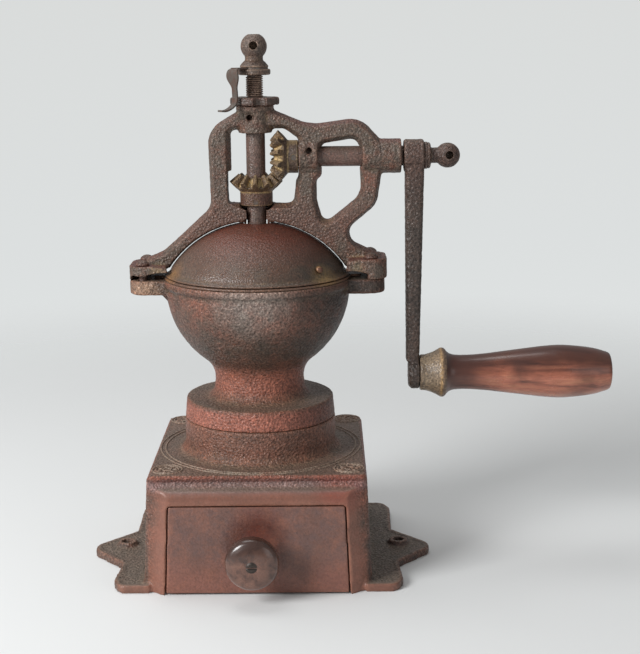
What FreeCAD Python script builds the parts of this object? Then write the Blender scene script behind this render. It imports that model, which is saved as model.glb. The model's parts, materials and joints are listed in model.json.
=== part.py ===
import FreeCAD, Part
import math
import os

# Manual coffee grinder with bevel gears, a screw-down cast iron box and a wooden crank grip.
# Millimetres. +Z is up, +X runs along the crank shaft towards the crank, -Y is the drawer side.
# The origin is on the resting plane, midway between the two screw-down holes, under the arbor.

V = FreeCAD.Vector
os.makedirs("parts", exist_ok=True)

# Fits shared by all pieces
running_gap = 0.05
moving_gap = 0.3
drawer_gap = 0.5

# Box casting
plate_z = 71.5
plate_half = 65.1
plate_thickness = 5.0
foot_half_x = 69.3
back_foot_y = 69.2
front_foot_y = 75.0
front_shoulder_y = 73.05
front_shoulder_z = 58.9
front_lip_height = 2.6
front_cove_r = 3.2
side_lip_height = 1.5
side_lip_step = 1.0
wall = 5.0
corner_cut_x = 12.3
corner_cut_y = 9.0

# Burr boss on the box
boss_r = 47.7
boss_top_z = 92.5
boss_cove_r = 6.0
seam_chamfer = 0.7
burr_seat_r = 36.0
burr_seat_z = 70.0
throat_r = 31.0

# Screw-down flanges, measured outwards from the foot of the box
flange_front_reach = 18.9
flange_front_y = 71.8
flange_back_reach = 16.3
flange_back_y = 78.0
front_waist = (17.2, -33.5)
back_waist = (15.3, 24.0)
ear_point = (42.1, -5.5)
ear_nose_r = 11.0
flange_base_z = 4.4
flange_ridge_z = 5.0
flange_ridge_width = 3.0
hole_reach = 18.7
hole_r = 3.15
hole_pad_r = 7.2
hole_pad_z = 7.0

# Drawer
drawer_top_z = 54.5
drawer_bottom_z = 2.0
drawer_half_top = 52.5
drawer_half_bottom = 54.9
drawer_front_back_y = -68.5
tray_half_x = 51.0
tray_back_y = 58.0
tray_floor_z = 4.3
tray_top_z = 45.0
tray_sheet = 1.2
runner_inner_x = 45.0
runner_thickness = 3.0
runner_lip_thickness = 3.0
runner_lip_z = 11.0
runner_half_y = 60.0
knob_x = -2.2
knob_z = 26.6
knob_r = 16.0
knob_length = 25.0
knob_neck_r = 7.0
knob_screw_r = 2.0
knob_screw_head_r = 3.45

# Hopper casting
hopper_flange_r = 47.5
hopper_flange_top_r = 46.3
hopper_flange_top_z = 105.2
neck_r = 28.0
neck_z = 117.5
bowl_r = 57.3
bowl_centre_z = 176.0
hopper_wall = 4.0
rim_lip = 2.2
rim_z = 181.0
rim_band = 4.4

# Lugs, bridge feet and their bolts
lug_end_x = 78.9
lug_half_y = 18.0
lug_corner_r = 10.0
lug_thickness = 8.9
left_foot_end_x = 79.0
left_foot_top_z = 190.0
right_foot_end_x = 80.3
right_foot_top_z = 193.5
foot_relief_x = 68.3
foot_relief_z = 184.4
foot_relief_top_z = 187.2
left_gap_x = 77.5
left_gap_z = 183.8
foot_inner_x = 57.0
foot_bolt_x = 70.4
foot_bolt_y = 11.5
foot_bolt_r = 2.5
foot_bolt_head_r = 4.3
foot_bolt_head = 3.4

# Covers
cover_r = 65.5
cover_centre_z = 149.9
cover_sheet = 1.6
cover_nest_gap = 0.4
cover_ring_inset = 7.2
cover_ring_width = 5.8
cover_flange_inset = 7.9
cover_flange = 1.4
cover_overlap = 3.0
cover_hole_r = 8.5
cover_ear_x = 64.5
cover_ear_half_y = 5.0
cover_knob_r = 2.4
cover_rivet_r = 1.2
cover_knob_azimuth = -43.4
cover_knob_z = 189.858

# Bridge casting
bridge_half_y = 7.0
bridge_flat_half_y = 1.5
bridge_outer_bevel = 2.2
bridge_window_bevel = 2.8
arch_gap = 1.6
arch_bevel = 1.2
post_x = 29.3
shaft_z = 255.1
hub_r = 10.2
hub_flare_r = 11.6
hub_flare_z = 281.5
hub_bottom_z = 269.8
hub_top_z = 286.6
inner_boss_r = 10.0
inner_boss_x0 = 26.3
inner_boss_x1 = 38.0
outer_boss_r = 10.6
outer_boss_x0 = 65.3
outer_boss_x1 = 89.2
saddle_r = 9.2
saddle_wall = 3.6
saddle_rise = 9.8
saddle_drop = 5.0
gear_relief_r = 18.2
oil_hole_r = 1.7
oil_countersink_r = 3.3

# Arbor and its gear, the crank shaft and its gear
arbor_r = 5.9
arbor_bottom_z = 50.0
arbor_top_z = 275.5
shaft_r = 6.2
gear_teeth = 12
gear_module = 2.52
gear_addendum = 0.8
gear_dedendum = 1.2
gear_face = 7.6
gear_hub_r = 10.1
gear_cone_end = 19.8
arbor_gear_hub_end = 29.4
arbor_gear_drop = 1.2
crank_gear_hub_end = 26.0
gear_backlash = 0.36
pressure_angle = 20.0
pin_r = 1.6

# Burrs
burr_teeth = 24
burr_bottom_z = 70.0
inner_burr_top_z = 92.0
inner_burr_bottom_r = 29.9
inner_burr_top_r = 13.0
outer_burr_bottom_r = 30.6
outer_burr_top_r = 24.5
burr_tooth_depth = 1.9
burr_twist = 14.0

# Lower bearing of the arbor
bearing_bar_half_x = 41.0
bearing_bar_half_y = 8.0
bearing_bar_thickness = 6.0
bearing_boss_r = 11.0
bearing_boss_z = 54.0
bearing_screw_x = 36.5
bearing_screw_r = 2.0
bearing_screw_head_r = 3.8

# Adjusting screw, its index wheel and the spring catch
feed_travel = 2.0
screw_r = 5.3
screw_bottom_z = 277.0
screw_ball_r = 8.0
screw_ball_z = 321.6
screw_neck_r = 5.5
screw_top_z = 328.9
cone_bottom_z = 309.2
cone_bottom_r = 8.7
cone_top_r = 6.2
cone_top_z = 312.8
catch_sheet = 1.0
plate_r = 9.9
plate_bottom_z = 304.6
tommy_hole_r = 2.4
index_wheel_r = 15.0
index_wheel_thickness = 4.8
index_lobes = 6
index_notch_r = 4.0
index_notch_depth = 3.7
catch_azimuth = 225.0
catch_bend_r = 16.0
catch_bulb_half = 5.0
catch_neck_half = 2.2
catch_strap_half = 3.4
catch_eye_r = 8.4

# Crank, its nut and its grip
crank_hub_r = 10.05
crank_x0 = 90.6
crank_x1 = 103.3
crank_radius = 137.0
crank_end_r = 10.3
crank_end_x0 = 94.0
crank_end_x1 = 101.0
arm_top_half_y = 8.5
arm_bottom_half_y = 6.4
arm_top_x0 = 91.5
arm_bottom_x0 = 92.6
arm_edge_r = 3.0
square_side = 8.8
shaft_thread_r = 4.0
shaft_end_x = 112.0
washer_r = 8.3
washer_thickness = 1.9
nut_flange_r = 8.0
nut_flange = 1.9
nut_neck_r = 4.8
nut_ball_r = 7.7
nut_ball_x = 117.7
spindle_r = 4.2
grip_start_x = 101.3
ferrule_end_x = 117.6
grip_end_x = 221.6
spindle_head_r = 6.5
spindle_head = 2.4

# Fastening of the hopper, from below
hopper_screw_circle_r = 42.0
hopper_screw_r = 2.5
hopper_screw_head_r = 4.2
hopper_screw_count = 3
hopper_screw_length = 32.0


def save(name, *solids):
    shape = solids[0] if len(solids) == 1 else Part.makeCompound(list(solids))
    shape.exportStep("parts/" + name + ".step")


def cylinder(radius, start, end):
    along = end - start
    return Part.makeCylinder(radius, along.Length, start, along)


def cylinder_x(radius, x0, x1, y=0.0, z=0.0):
    return cylinder(radius, V(x0, y, z), V(x1, y, z))


def cylinder_y(radius, y0, y1, x=0.0, z=0.0):
    return cylinder(radius, V(x, y0, z), V(x, y1, z))


def cylinder_z(radius, z0, z1, x=0.0, y=0.0):
    return cylinder(radius, V(x, y, z0), V(x, y, z1))


def block(x0, x1, y0, y1, z0, z1):
    return Part.makeBox(x1 - x0, y1 - y0, z1 - z0, V(x0, y0, z0))


def path_wire(path, place):
    """A closed wire. A step is a point, or two points for an arc, or more for a smooth curve."""
    edges = []
    here = place(path[0])
    for step in list(path[1:]) + [path[0]]:
        points = [place(p) for p in step] if isinstance(step[0], tuple) else [place(step)]
        if here.distanceToPoint(points[-1]) < 1e-6:
            continue
        if len(points) == 1:
            edges.append(Part.makeLine(here, points[0]))
        elif len(points) == 2:
            edges.append(Part.Arc(here, points[0], points[1]).toShape())
        else:
            curve = Part.BSplineCurve()
            curve.interpolate([here] + points)
            edges.append(curve.toShape())
        here = points[-1]
    return Part.Wire(edges)


def turned_back(path):
    """The same open path of points and two-point arcs, followed from its other end."""
    ends = [step[-1] if isinstance(step[0], tuple) else step for step in path]
    back = [ends[-1]]
    for i in range(len(path) - 1, 0, -1):
        arc = isinstance(path[i][0], tuple)
        back.append((path[i][0], ends[i - 1]) if arc else ends[i - 1])
    return back


def dome(radius, base, height):
    """The steps of a round cap from its rim to the axis, standing on base."""
    ball_r = (radius ** 2 + height ** 2) / (2 * height)
    centre = base + height - ball_r
    lean = math.asin(min(1.0, radius / ball_r)) / 2
    return ((ball_r * math.sin(lean), centre + ball_r * math.cos(lean)), (0, base + height))


def lathe_z(path, centre_x=0.0, centre_y=0.0):
    wire = path_wire(path, lambda p: V(centre_x + p[0], centre_y, p[1]))
    return Part.Face(wire).revolve(V(centre_x, centre_y, 0), V(0, 0, 1), 360)


def lathe_x(path, axis_z):
    wire = path_wire(path, lambda p: V(p[1], 0, axis_z + p[0]))
    return Part.Face(wire).revolve(V(0, 0, axis_z), V(1, 0, 0), 360)


def prism_x(path, x0, x1):
    wire = path_wire(path, lambda p: V(x0, p[0], p[1]))
    return Part.Face(wire).extrude(V(x1 - x0, 0, 0))


def prism_y(path, y0, y1):
    wire = path_wire(path, lambda p: V(p[0], y0, p[1]))
    return Part.Face(wire).extrude(V(0, y1 - y0, 0))


def prism_z(path, z0, z1):
    wire = path_wire(path, lambda p: V(p[0], p[1], z0))
    return Part.Face(wire).extrude(V(0, 0, z1 - z0))


def corner_path(corners, grow=0.0):
    """Turns (u, v, radius) corners into a path with rounded corners, moved out by grow."""
    count = len(corners)
    area = sum(
        corners[i][0] * corners[(i + 1) % count][1] - corners[(i + 1) % count][0] * corners[i][1]
        for i in range(count)
    )
    turn = 1.0 if area > 0 else -1.0
    moved = []
    for i in range(count):
        before, here, after = corners[i - 1], corners[i], corners[(i + 1) % count]
        into = math.atan2(here[1] - before[1], here[0] - before[0])
        out = math.atan2(after[1] - here[1], after[0] - here[0])
        bend = math.atan2(math.sin(out - into), math.cos(out - into))
        middle = into + bend / 2 - turn * math.pi / 2
        reach = grow / math.cos(bend / 2)
        radius = here[2] + (grow if bend * turn > 0 else -grow) if here[2] > 0 else 0.0
        moved.append((here[0] + reach * math.cos(middle), here[1] + reach * math.sin(middle),
                      into, bend, radius))
    path = []
    for u, v, into, bend, radius in moved:
        if radius <= 0:
            path.append((u, v))
            continue
        run = radius * math.tan(abs(bend) / 2)
        bow = radius * (1 / math.cos(bend / 2) - 1)
        inward = into + bend / 2 + math.copysign(math.pi / 2, bend)
        path.append((u - run * math.cos(into), v - run * math.sin(into)))
        middle = (u + bow * math.cos(inward), v + bow * math.sin(inward))
        end = (u + run * math.cos(into + bend), v + run * math.sin(into + bend))
        path.append((middle, end))
    return path


def bevelled_slab(corners, face_grow):
    """A slab about Y = 0 whose outline is grown by face_grow at both faces."""
    layers = []
    for y, grow in ((-bridge_half_y, face_grow), (-bridge_flat_half_y, 0.0),
                    (bridge_flat_half_y, 0.0), (bridge_half_y, face_grow)):
        layers.append(path_wire(corner_path(corners, grow), lambda p, y=y: V(p[0], y, p[1])))
    return Part.makeLoft(layers, True, True)


# Box casting

def wall_path(half, lip_drop, foot):
    return [(-half, plate_z), (half, plate_z), (half, plate_z - lip_drop),
            (half + side_lip_step, plate_z - lip_drop - side_lip_step), (foot, 0),
            (-foot, 0), (-half - side_lip_step, plate_z - lip_drop - side_lip_step),
            (-half, plate_z - lip_drop)]


def front_moulding():
    """The hollow under the front lip and the round below it, from the lip down to the shoulder."""
    round_r = front_cove_r * 1.6
    meet_y = -front_shoulder_y + round_r
    meet_z = front_shoulder_z + round_r
    slant = math.sqrt(0.5)
    lip_z = plate_z - front_lip_height
    return [(-plate_half, lip_z),
            ((meet_y + front_cove_r * slant, meet_z + front_cove_r * (1 - slant)), (meet_y, meet_z)),
            ((meet_y - round_r * slant, meet_z - round_r * (1 - slant)),
             (-front_shoulder_y, front_shoulder_z))]


def corner_wedges(inset):
    """The two slanting corners beside the drawer, moved into the wall by inset."""
    length = math.hypot(corner_cut_x, corner_cut_y)
    shift_x = inset * corner_cut_y / length
    shift_y = inset * corner_cut_x / length
    wedges = []
    for side in (-1, 1):
        wires = []
        for z in (-2.0, plate_z + 1):
            x = foot_half_x - (foot_half_x - plate_half) * z / plate_z - shift_x
            y = -front_foot_y + (front_foot_y - front_shoulder_y) * z / front_shoulder_z + shift_y
            corner = [(x, y + corner_cut_y), (x + 9, y + corner_cut_y), (x + 9, y - 15),
                      (x - corner_cut_x, y - 15), (x - corner_cut_x, y)]
            wires.append(path_wire(corner, lambda p, side=side, z=z: V(side * p[0], p[1], z)))
        wedges.append(Part.makeLoft(wires, True, True))
    return wedges


def box_outside():
    """The drafted outside of the box, with the moulding along the front."""
    sides = prism_y(wall_path(plate_half, side_lip_height, foot_half_x), -front_foot_y - 5, back_foot_y + 5)
    back = [(plate_half, plate_z), (plate_half, plate_z - side_lip_height),
            (plate_half + side_lip_step, plate_z - side_lip_height - side_lip_step), (back_foot_y, 0)]
    front = [(-plate_half, plate_z)] + front_moulding() + [(-front_foot_y, 0)]
    depth = back + [(-front_foot_y, 0)] + turned_back(front[:-1])
    shape = sides.common(prism_x(depth, -foot_half_x - 5, foot_half_x + 5))
    return shape.cut(corner_wedges(0.0))


def box_cavity():
    roof = plate_z - plate_thickness
    top_x = plate_half - wall + 1
    foot_x = foot_half_x - wall
    across = prism_y([(-foot_x, -1), (foot_x, -1), (top_x, roof), (-top_x, roof)],
                     drawer_front_back_y, back_foot_y)
    along = prism_x([(drawer_front_back_y, -1), (back_foot_y - wall, -1), (plate_half - wall + 1, roof),
                     (-plate_half + wall, roof), (-plate_half + wall, front_shoulder_z + 1),
                     (drawer_front_back_y, drawer_top_z + 1)], -foot_half_x, foot_half_x)
    return across.common(along).cut(corner_wedges(wall))


def drawer_outline(gap):
    slope = (drawer_half_bottom - drawer_half_top) / (drawer_top_z - drawer_bottom_z)
    top = drawer_top_z + gap
    bottom = -1.0 if gap > 0 else drawer_bottom_z
    half_top = drawer_half_top + gap
    half_bottom = half_top + slope * (top - bottom)
    return [(-half_bottom, bottom), (half_bottom, bottom), (half_top, top), (-half_top, top)]


def flange_corners(side):
    """The flange plan on one side, from the front end past the ear to the back end."""
    points = [(-4, -flange_front_y, 0), (flange_front_reach - 4, -flange_front_y, 7),
              (flange_front_reach, -flange_front_y + 10.5, 9), (*front_waist, 5),
              (*ear_point, ear_nose_r), (*back_waist, 5), (flange_back_reach, flange_back_y - 11, 9),
              (flange_back_reach - 5, flange_back_y, 7), (-4, flange_back_y, 0)]
    return [(side * (foot_half_x + x), y, r) for x, y, r in points]


def flange(side):
    corners = flange_corners(side)
    low = prism_z(corner_path(corners), 0, flange_base_z)
    ridge = prism_z(corner_path(corners, -0.4), flange_base_z, flange_ridge_z)
    dish = prism_z(corner_path(corners, -flange_ridge_width), flange_base_z, flange_ridge_z + 1)
    centre = side * (foot_half_x + hole_reach)
    pad = Part.makeCone(hole_pad_r, hole_pad_r - 1, hole_pad_z, V(centre, 0, 0), V(0, 0, 1))
    return low.fuse([ridge.cut(dish), pad]).cut(cylinder_z(hole_r, -1, hole_pad_z + 1, centre))


def runner(side):
    x_out = foot_half_x - wall + 1
    ledge = block(runner_inner_x, x_out, -runner_half_y, runner_half_y,
                  tray_floor_z - moving_gap - runner_thickness, tray_floor_z - moving_gap)
    lip_x = tray_half_x + drawer_gap
    lip = block(lip_x, lip_x + runner_lip_thickness, -runner_half_y, runner_half_y,
                tray_floor_z - moving_gap, runner_lip_z)
    both = ledge.fuse(lip)
    return both if side > 0 else both.mirror(V(0, 0, 0), V(1, 0, 0))


def hopper_screw_places():
    for i in range(hopper_screw_count):
        angle = math.radians(90 + 360 / hopper_screw_count * i)
        yield hopper_screw_circle_r * math.cos(angle), hopper_screw_circle_r * math.sin(angle)


def base_casting():
    cove = boss_r + boss_cove_r
    dip = boss_cove_r * (1 - math.sqrt(0.5))
    boss = lathe_z([(0, plate_z - 1), (cove, plate_z - 1), (cove, plate_z),
                    ((boss_r + dip, plate_z + dip), (boss_r, plate_z + boss_cove_r)),
                    (boss_r, boss_top_z - seam_chamfer), (boss_r - seam_chamfer, boss_top_z), (0, boss_top_z)])
    doorway = prism_y(drawer_outline(drawer_gap), -front_foot_y - 1, drawer_front_back_y + 1)
    walls = box_outside().cut([box_cavity(), doorway])
    shape = walls.fuse([boss, flange(-1), flange(1), runner(-1), runner(1)])
    cuts = [cylinder_z(throat_r, plate_z - plate_thickness - 1, boss_top_z),
            cylinder_z(burr_seat_r, burr_seat_z, boss_top_z + 1)]
    roof = plate_z - plate_thickness
    for x, y in hopper_screw_places():
        cuts.append(cylinder_z(hopper_screw_r, roof - 1, boss_top_z + 1, x, y))
    for side in (-1, 1):
        cuts.append(cylinder_z(bearing_screw_r, roof - 1, burr_seat_z - 0.5, side * bearing_screw_x))
    return shape.cut(cuts)


# Drawer

def drawer_front():
    panel = prism_y(drawer_outline(0.0), -front_foot_y - 1, drawer_front_back_y).common(box_outside())
    return panel.cut(cylinder_y(knob_screw_r, -front_foot_y - 2, drawer_front_back_y + 1, knob_x, knob_z))


def drawer_tray():
    outer = block(-tray_half_x, tray_half_x, drawer_front_back_y, tray_back_y, tray_floor_z, tray_top_z)
    inner = block(-tray_half_x + tray_sheet, tray_half_x - tray_sheet, drawer_front_back_y - 1,
                  tray_back_y - tray_sheet, tray_floor_z + tray_sheet, tray_top_z + 1)
    return outer.cut(inner)


def behind_front_face():
    """Everything behind the sloping front face of the box."""
    return prism_x([(-front_foot_y, 0), (-front_shoulder_y, front_shoulder_z), (0, front_shoulder_z), (0, 0)],
                   -foot_half_x, foot_half_x)


def knob_base_y():
    return -front_foot_y + (front_foot_y - front_shoulder_y) * knob_z / front_shoulder_z


def turned_about_y(path, x, y0, z):
    """Revolves (radius, distance from y0 towards -Y) about a line along Y."""
    wire = path_wire(path, lambda p: V(x + p[0], y0 - p[1], z))
    return Part.Face(wire).revolve(V(x, y0, z), V(0, 1, 0), 360)


def drawer_knob():
    end = knob_length
    path = [(knob_screw_r, -1), (knob_neck_r + 2, -1), (knob_neck_r + 2, 1.5),
            ((knob_neck_r, 5), (knob_neck_r + 2.5, 9)),
            ((knob_r - 2.2, 12), (knob_r, end - 7)),
            ((knob_r - 1.2, end - 3.2), (knob_r - 4, end - 1.6)),
            ((knob_r - 10, end - 0.2), (knob_screw_head_r + 1, end - 0.4)),
            (knob_screw_head_r + 0.4, end - 1.6), (knob_screw_r, end - 1.6)]
    return turned_about_y(path, knob_x, knob_base_y(), knob_z).cut(behind_front_face())


def knob_screw():
    y0 = knob_base_y()
    seat = y0 - knob_length + 1.6
    forward = V(0, -1, 0)
    head = Part.makeCylinder(knob_screw_head_r, 1.5, V(knob_x, seat, knob_z), forward)
    crown = Part.makeCone(knob_screw_head_r, knob_screw_head_r - 1.4, 0.8,
                          V(knob_x, seat - 1.5, knob_z), forward)
    shank = cylinder_y(knob_screw_r, seat, drawer_front_back_y + 4, knob_x, knob_z)
    slot = block(knob_x - knob_screw_head_r, knob_x + knob_screw_head_r, seat - 3, seat - 1.2,
                 knob_z - 0.5, knob_z + 0.5)
    return head.fuse([crown, shank]).cut(slot)


def hexagon(width, x, y):
    reach = width / math.sqrt(3)
    angles = [math.radians(60 * i) for i in range(6)]
    return [(x + reach * math.cos(a), y + reach * math.sin(a)) for a in angles]


def knob_nut():
    y0 = drawer_front_back_y
    body = prism_y(hexagon(7.0, knob_x, knob_z), y0, y0 + 3)
    return body.cut(cylinder_y(knob_screw_r, y0 - 1, y0 + 4, knob_x, knob_z))


# Hopper

def hopper_tangent():
    """Radius of the neck curve that runs smoothly into the bowl, and the unit line between their centres."""
    rise = bowl_centre_z - neck_z
    bend_r = (neck_r ** 2 + rise ** 2 - bowl_r ** 2) / (2 * (bowl_r - neck_r))
    reach = bowl_r + bend_r
    return bend_r, (neck_r + bend_r) / reach, -rise / reach


def hopper():
    bend_r, out, down = hopper_tangent()
    bend_x = neck_r + bend_r
    inner_bowl_r = bowl_r - hopper_wall
    rim_r = bowl_r + rim_lip
    bore_r = neck_r - hopper_wall

    def on_bend(radius, angle):
        a = math.radians(angle)
        return bend_x - radius * math.cos(a), neck_z + radius * math.sin(a)

    def on_bowl(radius, angle):
        a = math.radians(angle)
        return radius * math.cos(a), bowl_centre_z + radius * math.sin(a)

    join = math.degrees(math.atan2(-down, out))
    band_bottom = rim_z - rim_band
    top_z = hopper_flange_top_z
    outside = [(bore_r, boss_top_z), (hopper_flange_r, boss_top_z),
               (hopper_flange_top_r + 0.1, top_z - 1),
               ((hopper_flange_top_r - 0.2, top_z - 0.3), (hopper_flange_top_r - 1, top_z)),
               (neck_r + 8, top_z), ((neck_r + 2.4, top_z + 2.2), (neck_r + 0.3, top_z + 7.5)),
               on_bend(bend_r, 0), (on_bend(bend_r, join / 2), on_bend(bend_r, join)),
               (on_bowl(bowl_r, -join / 2), (bowl_r, bowl_centre_z)),
               (rim_r, band_bottom + 0.6), (rim_r, rim_z - 0.8), (rim_r - 0.8, rim_z),
               (inner_bowl_r + 2, rim_z), (inner_bowl_r, bowl_centre_z),
               (on_bowl(inner_bowl_r, -join / 2), on_bowl(inner_bowl_r, -join)),
               (on_bend(bend_r + hopper_wall, join / 2), on_bend(bend_r + hopper_wall, 0))]
    shape = lathe_z(outside).fuse(lug_rib())
    lug_z = rim_z - lug_thickness
    hollow = cylinder_z(inner_bowl_r + 1, lug_z - 1, rim_z + 1)
    for side in (-1, 1):
        lug = prism_z(corner_path(pad_corners(side, bowl_r - 3, lug_end_x)), lug_z, rim_z)
        shape = shape.fuse(lug.cut(hollow))
    holes = [cylinder_z(foot_bolt_r, lug_z - 1, rim_z + 1, x, y) for x, y in foot_bolt_places()]
    for x, y in hopper_screw_places():
        holes.append(cylinder_z(hopper_screw_r, boss_top_z - 1, hopper_screw_top(), x, y))
    return shape.cut(holes)


def pad_corners(side, inner_x, end_x):
    corners = [(inner_x, -lug_half_y, 0), (end_x, -lug_half_y, lug_corner_r),
               (end_x, lug_half_y, lug_corner_r), (inner_x, lug_half_y, 0)]
    return [(side * x, y, r) for x, y, r in corners]


def lug_rib():
    """The short web under the left lug, against the bowl."""
    under = rim_z - lug_thickness
    corners = [(-bowl_r + 2, under + 1), (-bowl_r - 6, under + 1),
               ((-bowl_r - 2, under - 2.5), (-bowl_r + 2, under - 7))]
    return prism_y(corners, -lug_half_y / 3, lug_half_y / 3)


def foot_bolt_places():
    for side_x in (-1, 1):
        for side_y in (-1, 1):
            yield side_x * foot_bolt_x, side_y * foot_bolt_y


def hopper_screw_top():
    return plate_z - plate_thickness + hopper_screw_length


def hopper_screws():
    roof = plate_z - plate_thickness
    screws = []
    for x, y in hopper_screw_places():
        head = cylinder_z(hopper_screw_head_r, roof - 2.8, roof, x, y)
        slot = block(x - hopper_screw_head_r, x + hopper_screw_head_r, y - 0.6, y + 0.6, roof - 3, roof - 1.6)
        screws.append(head.cut(slot).fuse(cylinder_z(hopper_screw_r, roof, hopper_screw_top(), x, y)))
    return screws


# Bridge

def arch_r():
    return cover_r + arch_gap


def arch_crown_z():
    return cover_centre_z + arch_r()


def bridge_outline():
    """Outline of the web at its middle, clockwise from the left foot. Windows and arch are cut from it."""
    crown = arch_crown_z()
    return [(-71.5, rim_z + 1, 0), (-71.5, 188.0, 0), (-68.0, 193.6, 0), (-58.6, crown - 19.6, 16.0),
            (-post_x + 1.2, crown + 7.5, 11.0), (-post_x, 271.8, 16.0), (-6.0, hub_top_z - 0.6, 0),
            (6.0, hub_top_z - 0.6, 0), (33.3, 274.5, 30.0), (64.1, 278.8, 16.0),
            (76.5, shaft_z + 10.1, 4.0), (82.0, shaft_z + 8.0, 0), (82.0, shaft_z - 8.0, 0),
            (77.3, shaft_z - 10.1, 0), (74.4, crown + 8.4, 14.0), (51.0, crown - 10.7, 7.5),
            (76.5, 194.5, 0), (76.5, rim_z + 1, 0)]


def left_window():
    edge = inner_boss_x0 - 0.3
    sill = arch_crown_z() + saddle_rise
    return [(-15.0, sill, 8.0), (-15.0, 271.5, 3.0), (17.6, 272.3, 6.0), (edge, 266.3, 2.0),
            (edge, 243.5, 3.2), (edge - 1.4, 241.0, 3.2), (edge - 3.1, sill, 4.0)]


def right_window():
    crown = arch_crown_z()
    return [(41.6, crown - 3.4, 4.0), (37.4, 228.5, 12.0), (37.4, 240.6, 3.2), (40.6, 243.6, 3.2),
            (40.6, 262.8, 3.0), (63.0, 266.3, 5.0), (64.5, crown + 14.7, 12.0)]


def arch_cutter():
    flare = bridge_half_y - bridge_flat_half_y
    bevels = [Part.makeCone(arch_r(), arch_r() + arch_bevel, flare,
                            V(0, side * bridge_flat_half_y, cover_centre_z), V(0, side, 0))
              for side in (-1, 1)]
    through = cylinder_y(arch_r(), -lug_half_y - 1, lug_half_y + 1, 0, cover_centre_z)
    return through.fuse(bevels)


def saddle():
    outer_r = saddle_r + saddle_wall
    low = arch_crown_z() - saddle_drop
    top = arch_crown_z() + saddle_rise
    ring = cylinder_z(outer_r, low, top)
    return ring.common(block(-outer_r, outer_r, 0, outer_r, low - 12.0, top + 3.2))


def foot_top(x):
    return right_foot_top_z if x > 0 else left_foot_top_z


def bridge_foot(side):
    end_x = right_foot_end_x if side > 0 else left_foot_end_x
    return prism_z(corner_path(pad_corners(side, foot_inner_x, end_x)), rim_z, foot_top(side))


def foot_relief():
    """The space under the feet for the cover's ring and ears, and the open gap under the left one."""
    floor = rim_z - 1
    across = prism_y([(-foot_relief_x, floor), (foot_relief_x, floor), (foot_relief_x, foot_relief_z),
                      (foot_inner_x, foot_relief_top_z), (-foot_inner_x, foot_relief_top_z),
                      (-foot_relief_x, foot_relief_z)], -lug_half_y - 1, lug_half_y + 1)
    return across.fuse(block(-left_gap_x, -foot_inner_x, -lug_half_y - 1, -3, floor, left_gap_z))


def countersunk_hole(x, z, surface_y):
    drill = cylinder_y(oil_hole_r, surface_y - 2, -1.5, x, z)
    sink = Part.makeCone(oil_countersink_r + 0.5, oil_hole_r, 2.6, V(x, surface_y - 0.5, z), V(0, 1, 0))
    return drill.fuse(sink)


def bridge():
    web = bevelled_slab(bridge_outline(), -bridge_outer_bevel)
    web = web.cut([bevelled_slab(left_window(), bridge_window_bevel),
                   bevelled_slab(right_window(), bridge_window_bevel)])
    web = web.fuse([saddle(), bridge_foot(-1), bridge_foot(1)])
    gear_z = shaft_z - gear_teeth * gear_module / 2
    hub_end_z = shaft_z - arbor_gear_hub_end
    sill = arch_crown_z() + saddle_rise
    web = web.cut([arch_cutter(), foot_relief(), cylinder_z(saddle_r, arch_crown_z() - 12.0, sill + 3.2),
                   cylinder_z(gear_hub_r + moving_gap, hub_end_z - feed_travel - moving_gap, sill + 3.2),
                   cylinder_z(gear_relief_r, sill + 0.2, gear_z + 6.6)])
    hub = lathe_z([(0, hub_bottom_z), (hub_r, hub_bottom_z), (hub_r, hub_flare_z),
                   (hub_flare_r, hub_flare_z + 2.4), (hub_flare_r, hub_top_z), (0, hub_top_z)])
    bosses = [hub,
              cylinder_x(inner_boss_r, inner_boss_x0, inner_boss_x1, 0, shaft_z),
              cylinder_x(outer_boss_r, outer_boss_x0, outer_boss_x1, 0, shaft_z)]
    spindle_way = cylinder_z(arbor_r + running_gap, hub_bottom_z - 1, screw_bottom_z + 0.3)
    screw_way = cylinder_z(screw_r + running_gap, screw_bottom_z, hub_top_z + 1)
    shaft_way = cylinder_x(shaft_r + running_gap, inner_boss_x0 - 1, outer_boss_x1 + 1, 0, shaft_z)
    holes = [spindle_way.fuse([screw_way, countersunk_hole(-3.0, hub_top_z - 7.2, -hub_r)]),
             shaft_way.fuse(countersunk_hole(inner_boss_x0 + 6.5, shaft_z + 4.0, -inner_boss_r))]
    holes += [cylinder_z(foot_bolt_r, rim_z - 1, right_foot_top_z + 1, x, y) for x, y in foot_bolt_places()]
    return web.fuse(bosses).cut(holes)


def bridge_bolts():
    bolts = []
    for x, y in foot_bolt_places():
        base = foot_top(x)
        rim = base + foot_bolt_head * 0.35
        head = lathe_z([(0, base), (foot_bolt_head_r, base), (foot_bolt_head_r, rim),
                        dome(foot_bolt_head_r, rim, foot_bolt_head * 0.65)], x, y)
        bolts.append(head.fuse(cylinder_z(foot_bolt_r, rim_z - lug_thickness + 1, base, x, y)))
    return bolts


# Covers

def dome_point(radius, reach):
    return reach, cover_centre_z + math.sqrt(radius ** 2 - reach ** 2)


def dome_reach(radius, z):
    return math.sqrt(radius ** 2 - (z - cover_centre_z) ** 2)


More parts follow.
